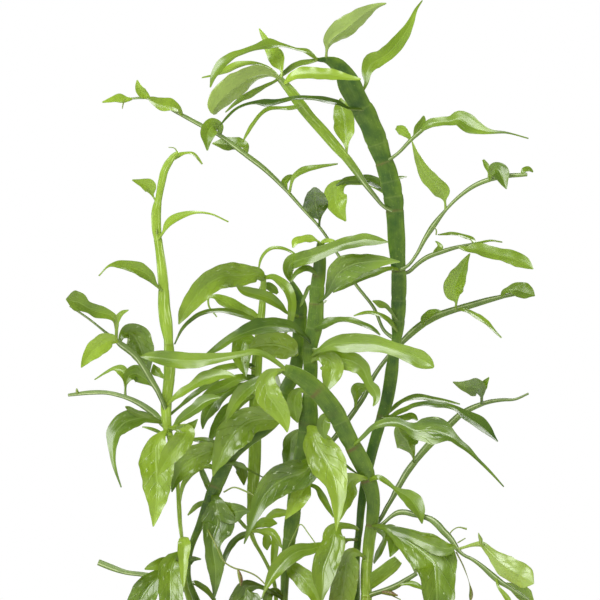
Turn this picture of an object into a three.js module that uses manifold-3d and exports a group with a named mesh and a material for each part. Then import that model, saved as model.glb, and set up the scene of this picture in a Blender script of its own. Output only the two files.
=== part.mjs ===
// A potted ribbon plant: flat jointed stems with arrow-shaped leaves, in a plain terracotta pot.
// Millimetres. The origin is the middle of the pot's foot, +Z is up and the front faces -Y.
import * as THREE from "three";
import Module from "manifold-3d";
import { mergeVertices } from "three/addons/utils/BufferGeometryUtils.js";

const wasm = await Module();
wasm.setup();

// Pot
const potHeight = 130;
const footRadius = 57;
const rimRadius = 85;
const rimBandHeight = 28;
const rimBandStep = 4;
const wallThickness = 6;
const floorThickness = 8;
const edgeRound = 1.5;
const drainHoleRadius = 5;
const drainHoleCircle = 30;
const drainHoleCount = 3;

// Soil
const soilLevel = 115;
const soilLump = 1.8;
const levelFrom = 0.8;
const stemHoleRadius = 4.2;
const stemFoot = 86;
const clearance = 0.3;
const soilRipples = [
  { x: 0.24, y: 0.11, phase: 1.3, height: 1 },
  { x: -0.13, y: 0.22, phase: 0.4, height: 0.9 },
  { x: 0.47, y: -0.39, phase: 0, height: 0.6 },
  { x: 0.33, y: 0.58, phase: 2, height: 0.5 },
];

// Corners nearer than this are one corner.
const weldDistance = 1e-4;

// Sides of the round faces
const potSides = 40;
const soilSides = 32;
const soilRings = 7;
const holeSides = 16;

// Leaves and stems
const bladeThickness = 0.8;
const stalkWidth = 1.9;
const stalkThickness = 1.7;
const foldAngle = 16;
const edgeWave = 0.09;
const wavesPerPoint = 0.3;
const leastCosine = 0.35;
const leastFacing = 0.15;
const fullFacing = 0.45;
const ribbonThickness = 2.2;
const branchThickness = 1.5;
const ribbonEdge = 0.45;
const footThickness = 5.6;
const footTop = 150;
const flatFrom = 215;
const plainBlade = 5;
const plainRibbon = 7;
const leafSlack = 1.25;
const ribbonSlack = 0.55;

// Stems and leaves are placed as they line up from the front, for an eye this far away.
const eye = new THREE.Vector3(6.5, -2500, 345.8);
const inward = new THREE.Vector3(0, 1, 0);
const sideways = new THREE.Vector3(1, 0, 0);

function spreadAt(depth) {
  return (depth - eye.y) / -eye.y;
}

function place(x, z, depth) {
  const spread = spreadAt(depth);
  return new THREE.Vector3(eye.x + (x - eye.x) * spread, depth, eye.z + (z - eye.z) * spread);
}

// One leaf: from is x, z on its stem, and each point is x, z and the width seen there, out to the tip.
// depths is spread evenly over the points. turn rolls the blade about its middle, in degrees, with 0
// full face to the front.
function leaf(from, points, depths, turn = 0) {
  return { from, points, depths, turn };
}

// One side branch: a line of x, z, depth, width, whose first point lies on the stem.
function branch(line, leaves = []) {
  return { line, leaves };
}

// Each stem's line holds x, z, depth and width, from the foot in the soil to the tip.
const tallStem = {
  name: "stem_tall",
  color: 0x4b6e28,
  line: [
    [41, 86, 12, 6], [41, 118, 12, 6], [42, 134, 13, 5.6], [43, 150, 14, 5.2], [43.2, 178, 14, 4.8],
    [43.8, 187, 14, 4.8], [45.2, 198, 14, 4.8], [46, 208, 14, 5.2], [47.4, 219, 14.5, 5.8],
    [49.2, 229, 15, 6.4], [51.5, 240, 16, 7], [54, 250, 16, 7.2], [57, 260.5, 16, 7.4],
    [59.9, 270, 16, 7.6], [62.9, 280, 15, 8.4], [64.8, 290, 14, 8.6], [66.2, 300, 13, 8.6],
    [67.5, 310, 12, 7.2], [69.6, 322, 11, 7], [70.2, 330, 10, 8.6], [70.6, 345, 8.8, 10],
    [70.8, 360, 7.5, 10], [70.2, 370, 6.5, 9.8], [69.3, 384, 5.4, 11.5], [68.4, 400, 4, 11.6],
    [67.5, 410, 3, 13], [65.7, 420, 1.7, 13.4], [63.1, 430, 0, 12.7], [59.5, 440, -1.5, 12.2],
    [56, 450, -4, 14.6], [52, 460, -6, 13.6], [49.2, 466, -7, 14.8], [43.5, 476, -9, 14],
    [38.5, 486, -11, 15], [34.5, 494, -13, 11.5], [30, 499, -15, 9.5], [24, 501.7, -17, 5],
    [18, 502, -19, 2.5],
  ],
  leaves: [
    leaf([23.4, 501.5], [[24.2, 510, 2.6], [25.5, 514, 8], [29, 518, 11.5], [35, 522, 13], [42, 527.5, 11],
      [49.5, 533.2, 8], [56.5, 537, 3.5], [62.5, 538.6, 0.8]], [-18, -22, -30, -40], 150),
    leaf([18, 502], [[12, 506.8, 3.5], [4, 509, 1.8], [-6, 511.5, 3.2], [-13, 512, 6.4], [-22, 509.8, 4],
      [-31, 506.8, 4.4], [-38, 503.8, 6], [-44, 499, 6], [-49, 492, 4], [-51.8, 484, 1]],
      [-20, -26, -30], -50),
    leaf([18, 502], [[10, 500, 3.5], [3, 498, 4.5], [-3, 494, 3], [-9, 488.3, 1.6], [-17, 484, 3],
      [-24, 480.4, 4.6], [-32, 475.8, 3.2], [-42, 467.8, 0.8]], [-16, -12, -6, 2], -55),
    leaf([49, 479], [[49.6, 487, 2.8], [50, 494, 7], [53, 499.5, 11.5], [60, 503.5, 10], [67.5, 510, 9.5],
      [74, 518.3, 8], [78.6, 526.5, 4.4], [82, 534.5, 2], [86, 540.5, 0.8]], [-4, 2, 14, 30], 15),
    leaf([42, 467], [[38, 470.5, 1.6], [32, 473.8, 3.4], [24, 475.3, 3.8], [14, 476.7, 2.8], [4, 477, 3.4],
      [-6, 475.2, 3], [-16, 473.3, 4.6], [-24, 473.7, 2], [-34, 470.5, 2], [-41, 464.5, 1.6],
      [-45.5, 459, 0.8]], [-14, -28, -36, -42], -58),
    leaf([63, 413], [[58, 420.5, 7], [51, 424, 6], [43, 424, 5.5], [36.5, 423, 4.5], [30, 420, 0.8]],
      [10, 14, 14], -40),
    leaf([63.2, 412], [[45, 421.5, 2], [34, 421.5, 6], [29.8, 417, 13], [29.7, 411, 15], [32, 404, 10],
      [36.3, 397, 1]], [16, 18, 16], 0),
    leaf([66, 423], [[70, 425, 2.2], [76, 426, 0.8]], [8, 16], 30),
    leaf([70.5, 366], [[63, 366, 3], [55, 363.5, 4.5], [47, 360.3, 5], [39, 357, 4.5], [32, 353.3, 3],
      [28, 350.7, 0.8]], [-2, 0, 4], -45),
    leaf([69.5, 326], [[64, 332.5, 3], [58.5, 336, 2.8], [52, 337.7, 2], [46, 336.8, 1.6],
      [41.5, 335.5, 0.8]],
      [4, 2, 0], -50),
    leaf([69.5, 332], [[66, 337.5, 2], [62.5, 341.7, 3], [58, 343.3, 4.5], [53.7, 345.2, 0.8]],
      [4, -4], -30),
    leaf([60, 270], [[64.5, 269.8, 2], [70, 272.5, 2.6], [75.5, 275, 3], [81, 277.3, 3.2], [88, 278.3, 3],
      [95, 277.6, 3.4], [102, 277, 3], [108.5, 275, 3.6], [113, 271.5, 6.5], [118.3, 268.3, 8],
      [123.3, 265, 7.8], [128, 261, 5.6], [132, 256.9, 2.6], [135, 253.8, 0.8]], [14, 0, -8, -14, -20], 50),
    leaf([60, 270], [[64.5, 273, 1.6], [69, 277, 2.6], [74, 280.3, 2.4], [80, 282.3, 3.4], [86, 282.8, 3.6],
      [92.5, 281.6, 3], [100, 280.3, 2.2], [110.5, 278, 0.8]], [18, 24, 32], 50),
    leaf([59, 266], [[64, 267.5, 2.6], [70, 268.6, 3.4], [76, 269.5, 4.4], [80, 269.6, 4.2],
      [82.8, 267.6, 1]],
      [14, 6], 40),
    leaf([45.3, 196], [[41.5, 198.2, 3], [37, 199, 4], [32, 198.7, 5.5], [28.7, 194.5, 13],
      [28.3, 189, 15.4],
      [26.6, 183, 16.6], [24.4, 177.5, 17], [22.2, 171.5, 16.5], [21.4, 165.5, 14.5], [21.2, 159, 9.5],
      [20.6, 152, 3], [20.3, 147, 0.8]], [8, -6, -14, -22], 0),
    leaf([44.5, 190], [[38, 190, 2], [30, 189, 3], [23, 186.8, 3.4], [18, 185.3, 5.4], [13.5, 183.9, 7.5],
      [6.5, 183, 9.4], [0.5, 179.8, 10.6], [-5, 174.5, 9.8], [-9.6, 169, 8.6], [-13.7, 162.3, 4.6],
      [-16.5, 156.5, 1.6], [-18.5, 151.5, 0.8]], [4, -2, -10, -14], -25),
    leaf([70.5, 345], [[71, 350, 2.5], [71, 352, 3.6], [70, 350, 4], [70.5, 344, 2.5], [71, 335, 0.8]],
      [24, 52, 78], 85),
    leaf([68, 404], [[67.5, 408, 2.2], [67, 411, 3.2], [66, 410, 4], [66, 404, 2.5], [66, 396, 0.8]],
      [20, 48, 74], 85),
    leaf([56, 447], [[55, 451, 2.2], [54, 455, 3.6], [52, 456, 3.6], [51, 451, 2.5], [52, 444, 0.8]],
      [14, 40, 66], 85),
  ],
  branches: [
    branch(
      [[62, 435.5, 0, 3], [66, 438, -2, 2.4], [70, 441, -4, 2.2], [78.5, 449.8, -10, 2.6],
      [86, 456.5, -15, 3]],
      [
        leaf([85.5, 456], [[90, 460, 5.5], [97, 461.7, 6], [104, 462.2, 6.5], [110, 463.8, 10.5],
          [116, 460, 11.5], [122, 457.2, 8], [130, 455.2, 3.6], [140, 454.6, 1.4], [155, 450.8, 0.8]],
          [-18, -28, -36, -42], 20),
        leaf([78.5, 450], [[76.5, 453, 4], [73, 456, 6.5], [69, 458, 2.5]], [-4, 4], 10),
        leaf([81, 452], [[83, 457, 5], [86, 461.5, 4.5], [87, 465.5, 1]], [-8, 0], 0),
      ],
    ),
    branch(
      [
        [69, 320, 11, 3], [62, 325, 16, 2.4], [54.6, 340.5, 20, 2.2], [42, 357, 22, 2.2], [32, 374, 23, 2],
        [19.5, 392.8, 24, 2], [8, 405.5, 26, 2.2], [-3, 417.8, 28, 2.6], [-16, 430.5, 30, 3.4],
        [-29, 440.5, 32, 3.6], [-46, 453, 35.5, 3], [-58, 459.5, 38, 3], [-72, 467, 40, 2.6],
        [-92, 477, 43, 2], [-106, 476.5, 45, 1.2],
      ],
      [
        leaf([-103, 477], [[-106, 476.3, 3.5], [-110, 476.6, 6], [-115, 476, 4.2], [-122, 474.3, 0.8]],
          [43, 38], -30),
        leaf([-91, 476.5], [[-93.5, 478.5, 4.5], [-96.5, 481, 6.5], [-98.5, 484.5, 4.5],
          [-99.3, 488.8, 0.8]],
          [41, 36], 0),
        leaf([-70, 466.5], [[-72.5, 470, 4], [-77, 472, 8], [-83, 472.8, 8.6], [-88.5, 474.8, 5.5],
          [-93, 477.3, 1]], [36, 24], -40),
        leaf([-45, 453.5], [[-45.8, 458.5, 5.5], [-50, 459, 10.5], [-53.3, 454, 10.5], [-53.8, 448, 5],
          [-53.7, 443, 1]], [32, 24, 18], 0),
        leaf([-27, 442], [[-29.5, 446, 5], [-35, 447, 9], [-42, 447.3, 8], [-50.5, 447.6, 0.8]],
          [36, 46], -30),
        leaf([0, 415.5], [[0.6, 420, 1.6], [2, 425, 3], [5, 428, 3.5], [10, 430.5, 4.2], [17, 432, 3.2],
          [24, 433.2, 2], [31, 434.3, 0.8]], [25, 14, 4], 35),
        leaf([-2.5, 417], [[-3.5, 422.5, 4.5], [0.5, 426, 3], [4, 425.5, 0.8]], [31, 36], 0),
        leaf([19.3, 394], [[19.2, 398, 1.8], [17.5, 402.5, 10], [16.8, 407.5, 16], [16.5, 412, 15],
          [16, 416, 10], [15.5, 418.8, 3]], [20, 2, -14], 0),
      ],
    ),
    branch(
      [
        [67.5, 403, 4, 3], [61, 406.5, 0, 2.4], [55, 413.5, -5, 3], [49, 421, -8, 3.6],
        [43.5, 429, -10.5, 5],
        [37.5, 437, -12.5, 5.6], [30, 445.5, -14.5, 6.6], [21, 456, -16.5, 7], [12.5, 465.5, -17.5, 6.8],
        [6, 474, -19, 7.4], [1, 481, -20, 6.4], [-6.5, 489.5, -21, 4.5],
      ],
      [
        leaf([-6, 490], [[-11, 492.2, 3], [-18, 493.3, 8], [-26, 491, 12], [-34, 486, 14.5],
          [-41, 480.5, 14],
          [-46.5, 475, 12], [-50, 469.5, 7.5], [-50.5, 466.8, 2]], [-24, -36, -44], -145),
        leaf([-6.5, 490], [[-11, 495, 1.5], [-20, 499, 2], [-29, 499.3, 3], [-37, 497.3, 4.4],
          [-43, 494.6, 4.4],
          [-50, 491.8, 1.8], [-57.3, 490.2, 0.8]], [-19, -14, -8], -55),
        leaf([-5.5, 489.5], [[-5.3, 494.5, 1.8], [-7, 499.5, 8], [-9, 504, 10.5], [-12.5, 509, 8],
          [-15.8, 515, 4.6], [-20, 522.3, 0.8]], [-20, -10], 20),
        leaf([-3, 487], [[2, 491.5, 5.5], [8, 492.8, 8], [17, 492.8, 8], [27, 492.4, 7.4], [36, 490.5, 4.2],
          [42, 489.6, 3], [46, 489.3, 1]], [-25, -30, -32], 35),
        leaf([6, 471], [[0, 470.5, 3], [-8, 470.6, 2], [-14, 469.6, 2.6], [-19, 466.3, 2.8],
          [-24, 460.3, 2.4],
          [-28, 453.3, 1.8], [-31, 448, 0.8]], [-15, -8, -2], -55),
        leaf([37, 438.5], [[36.8, 444.5, 2], [36.4, 449.5, 6], [36, 454.5, 12], [35.6, 460, 13.5],
          [34.8, 466, 13.5], [33.5, 471.5, 10], [33, 477, 1]], [-9, -4, 2], 15),
      ],
    ),
    branch(
      [
        [70.5, 365, 7, 3], [76.5, 368, 5, 2.2], [82, 375, 2.5, 2.2], [88, 386, -2, 3], [92.5, 393, -6, 3.8],
        [101, 404, -12, 2.2], [110.5, 413.5, -18, 2.4], [120, 420.2, -22, 3], [136.5, 425.8, -30, 3.2],
        [154, 427.4, -38, 2.6],
      ],
      [
        leaf([101, 404.5], [[100.6, 410.5, 2], [99, 416, 10], [94.5, 421, 10.5], [88.8, 427, 9.2],
          [85, 434, 6.4], [81.8, 441.5, 3.2], [79.3, 449, 0.8]], [-14, -24, -36], 10),
        leaf([129, 423.5], [[129.5, 429, 2.5], [127.8, 433, 3.5], [125.5, 437, 1.5]], [-24, -22], 0),
        leaf([130, 423.5], [[131, 428, 4], [133, 431, 8], [136, 430, 11], [138, 426, 9.5],
          [139.2, 422, 5.5], [140.7, 418, 0.8]], [-32, -39, -44], 0),
        leaf([151, 427.3], [[152, 430, 3], [155, 431, 3.4], [158, 429, 0.8]], [-37, -34], 30),
      ],
    ),
    branch(
      [
        [70.5, 363, 7, 3], [77, 364, 11, 2.6], [82, 368.5, 13, 2.8], [88, 373, 15, 3.2],
        [98, 377, 17.5, 3.2],
        [108, 380, 20, 2.6], [120, 382.3, 22, 2],
      ],
      [
        leaf([119.5, 382], [[118.5, 384.8, 2.6], [112.5, 387.5, 2.4], [105, 388.8, 2], [96, 388.2, 0.8]],
          [26, 38], -50),
        leaf([110, 380], [[114.5, 379, 3.5], [121, 379.3, 7.5], [129, 377, 8], [137, 374.8, 8],
          [144, 373.3, 10], [150, 370.8, 9.5], [154, 368.5, 6], [158, 366, 0.8]], [18, 12, 5], 30),
        leaf([119.5, 382.2], [[130, 384.3, 1.2], [138, 383.5, 0.8]], [24, 28], 40),
        leaf([93, 375.2], [[95, 377.8, 3], [97.5, 380, 4], [96.5, 382.5, 2], [94.5, 384, 0.8]],
          [19, 24], 0),
      ],
    ),
  ],
};

const archingStem = {
  name: "stem_arching",
  color: 0x527c2e,
  line: [
    [46, 86, -2, 6.5], [46, 118, -2, 6.5], [48, 134, -1, 6.8], [49.5, 150, 0, 7.5], [49.6, 170, 0, 7.4],
    [50.6, 180, 0, 7.6], [51.6, 190, 0, 7.8], [53, 199, -0.5, 8.2], [53.8, 206, -1, 8.5],
    [54.2, 214, -1.5, 8.8],
    [53.3, 221, -2.5, 9.6], [51.2, 228, -4, 10.6], [48.6, 236, -5.5, 11.2], [44.3, 244.5, -8, 11.4],
    [40.3, 252, -10.5, 11], [35.5, 261, -14, 11.5], [30.3, 271, -18, 12.4], [23.5, 280.5, -22, 12.2],
    [17, 287.5, -25, 12], [10, 293.5, -27, 11], [3, 298, -29, 9.5], [-4, 301, -30, 7],
  ],
  leaves: [
    leaf([44, 252.5], [[48.5, 258, 2.8], [54, 263.3, 3.4], [61, 266, 5.5], [69, 266.3, 6.5], [76, 263.5, 6],
      [82, 261, 11], [88.3, 261.3, 15.5], [95, 260.6, 18], [100.3, 259, 14], [105, 257, 7.5],
      [110.3, 252.6, 5], [115.5, 248.8, 4], [121.7, 242.5, 2.2], [128.3, 236, 1.8], [139, 224.4, 0.8]],
      [-16, -24, -32, -38, -44, -50], 15),
    leaf([52.5, 229], [[58, 230.5, 3.4], [63, 227.3, 3.4], [68, 223.3, 2.6], [72.5, 220.5, 6],
      [77, 218, 9.5],
      [81, 213.3, 11], [83.7, 208.3, 8], [85, 204, 4], [85.8, 200.5, 0.8]], [-10, -16, -24], 20),
    leaf([56, 199], [[64, 197, 5], [72, 192.5, 12], [80, 187, 19], [88, 181, 26], [94.5, 174.5, 29],
      [95.5, 167, 25], [95.8, 160, 23], [96.2, 150, 20], [96.5, 140, 13], [97, 128, 0.8]],
      [-14, -26, -36, -42, -48], 10),
    leaf([56, 199], [[64, 197, 5], [74, 194, 6], [84, 190, 7], [93, 186.5, 10], [99, 184.5, 10],
      [103.5, 184.5, 8], [107.5, 186.3, 2]], [-14, -26, -36, -41], 0),
    leaf([55.5, 198], [[60, 197.5, 3], [64.5, 196, 9], [67.5, 191.5, 11], [67.8, 187, 9], [66.6, 183, 5.5],
      [65, 178.8, 0.8]], [-3, -9, -14], 0),
    leaf([56, 198], [[61.5, 191, 3], [59, 184.5, 4], [56.5, 179, 3.4], [54.5, 174.5, 0.8]], [7, 9, 10], 30),
    leaf([50, 229.5], [[45, 230, 5], [40.5, 229, 10], [37.5, 226, 14], [35.8, 221.5, 15.2],
      [34.3, 216.5, 13.4],
      [32.8, 211.5, 10.2], [32, 206.5, 6.2], [31, 202.5, 3], [30.3, 199.5, 0.8]], [-11, -13], 5),
    leaf([49.5, 176], [[45.5, 180.5, 3], [41.5, 181.5, 7], [38, 177, 14], [36.2, 168, 16.5], [35, 160, 17],
      [33.5, 152, 17], [32, 144, 12], [31, 137, 0.8]], [-4, -8], 10),
    leaf([-2, 300], [[-8, 304.8, 3], [-15, 309.5, 3.6], [-22, 312, 4], [-32, 310.7, 4], [-42, 308.8, 5.5],
      [-52, 307.3, 7.5], [-61, 306.3, 10], [-70, 306.6, 11], [-79, 307.5, 10], [-88, 308.7, 7.5],
      [-93.5, 309.3, 4], [-97.3, 309, 0.8]], [-32, -32, -30, -26], -15),
    leaf([-3, 300.5], [[-10, 297.5, 3], [-17, 295, 5], [-24, 291, 7.5], [-30, 286, 9], [-34.5, 281, 8.5],
      [-37.5, 276, 6.5], [-40, 271, 4], [-42, 266.5, 0.8]], [-25, -20, -16], -25),
    leaf([-3, 300], [[-8, 300, 3], [-13, 297, 8.5], [-15.3, 291.5, 14], [-14, 284, 16.5],
      [-8.8, 276.5, 15], [-5, 270.5, 10.5], [-2.8, 265, 6], [-1.8, 259.8, 0.8]], [-34, -40, -42], 0),
    leaf([33, 266], [[28, 270, 3], [23, 268.5, 8], [21.7, 262, 8], [23, 255.5, 0.8]], [-17, -19, -18],
      0),
    leaf([51, 185], [[52, 189, 2.2], [53, 192, 3.2], [53, 190, 3.6], [53.5, 184, 2.2], [54, 176, 0.8]],
      [18, 46, 70], 85),
  ],
  branches: [
    branch(
      [
        [54, 200, -1, 3.4], [57.5, 202, 2, 3], [60.3, 206, 4, 2.8], [62.5, 210.3, 6, 3],
        [66.5, 217, 8, 3.2],
        [69, 221.8, 9.5, 4], [72, 227, 11, 4], [75.8, 233.5, 12, 4.4], [80.8, 240.3, 13, 4.4],
        [86.2, 247, 14, 4.6], [91, 252.3, 15, 5], [98, 259.5, 16, 5], [105, 266, 17, 4.6],
        [111, 271.5, 18, 4.2], [117, 275, 19, 3.8], [122, 277.2, 20, 3.4], [128, 279.3, 21, 3],
        [138, 280.9, 23, 2.4], [146, 281.2, 25, 1.8], [155, 285, 27, 1.4],
      ],
      [
        leaf([124.5, 278.3], [[124.6, 283, 2], [123.5, 288, 9], [119, 289.3, 12], [114, 289.8, 8],
          [109.5, 291, 4], [106, 292.5, 0.8]], [14, 4, -4, -10], 0),
        leaf([124.5, 278.3], [[124.8, 285, 2.4], [126, 290.5, 5], [129.3, 295.6, 0.8]], [14, 8], 0),
        leaf([80.8, 240.3], [[80.3, 243.5, 1.6], [79.4, 247, 4], [77.3, 250.7, 9.5], [75.8, 254, 15],
          [73, 257.5, 11], [71, 261, 7], [70, 265.5, 1]], [9, -2, -8], 10),
      ],
    ),
    branch(
      [
        [54, 198, -1, 3.6], [58.5, 199, -4, 3], [62.5, 202.3, -7, 2.4], [66, 205.3, -9, 2.6],
        [70, 207.6, -11, 3.6], [75, 207.9, -13, 3.8], [80, 206.5, -15, 3.6], [85.5, 205.3, -17, 3.4],
        [91, 203.6, -19, 4], [95.8, 200, -21.5, 4.6], [99.7, 195.5, -23.5, 4.4], [103.3, 191.9, -25, 4.2],
        [106.3, 188, -27, 3.6], [108.8, 184, -28, 3], [113, 180, -30, 2.2], [118, 177.6, -32, 2.4],
        [124.5, 173, -34, 3], [131.5, 166.8, -36, 4], [135.5, 163.5, -37, 4.2], [140, 160.5, -39, 3],
        [147, 156, -41.5, 2.6], [155, 151, -44, 1.8],
      ],
      [
        leaf([109, 183.8], [[114, 185.3, 1.8], [119.5, 186.8, 2.8], [124.5, 187, 4], [129.5, 182.5, 6],
          [134.5, 177.5, 10], [139.5, 173.3, 14], [145, 169.8, 15.5], [151, 166.3, 15], [155, 163.8, 11],
          [158.5, 161.5, 0.8]], [-30, -40, -49, -56], 170),
        leaf([138, 161.8], [[142, 160.5, 3], [146, 158, 7], [150.5, 155, 10], [154, 152, 9],
          [157, 149.5, 5], [159, 147.5, 0.8]], [-36, -28, -22], 30),
        leaf([134, 164.7], [[136, 158.5, 2], [138.5, 155.5, 3], [141, 152.3, 3.6], [143.5, 148, 3],
          [145.5, 144, 0.8]], [-42, -48], 0),
      ],
    ),
    branch([[49.5, 160, 0, 8], [53.5, 163.4, -1, 9.2], [61.3, 169.1, -4, 9.2], [68, 174.6, -6, 8.4],
      [70.5, 177, -7, 6.5]]),
    branch(
      [
        [49.5, 153, 0, 4], [54, 154.8, -3, 3.4], [61.3, 157, -6, 3.6], [66.7, 158.9, -8, 4],
        [72, 161.7, -10.5, 3.8], [77.3, 165, -13, 3.2], [82.5, 168.2, -14, 2.8],
      ],
      [leaf([70, 160.5], [[74, 161.3, 2], [78, 161.6, 3.2], [82, 160.4, 3.6], [85.5, 158.5, 2],
        [87.5, 156.5, 0.8]], [-12, -18], 30)],
    ),
  ],
};

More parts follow.
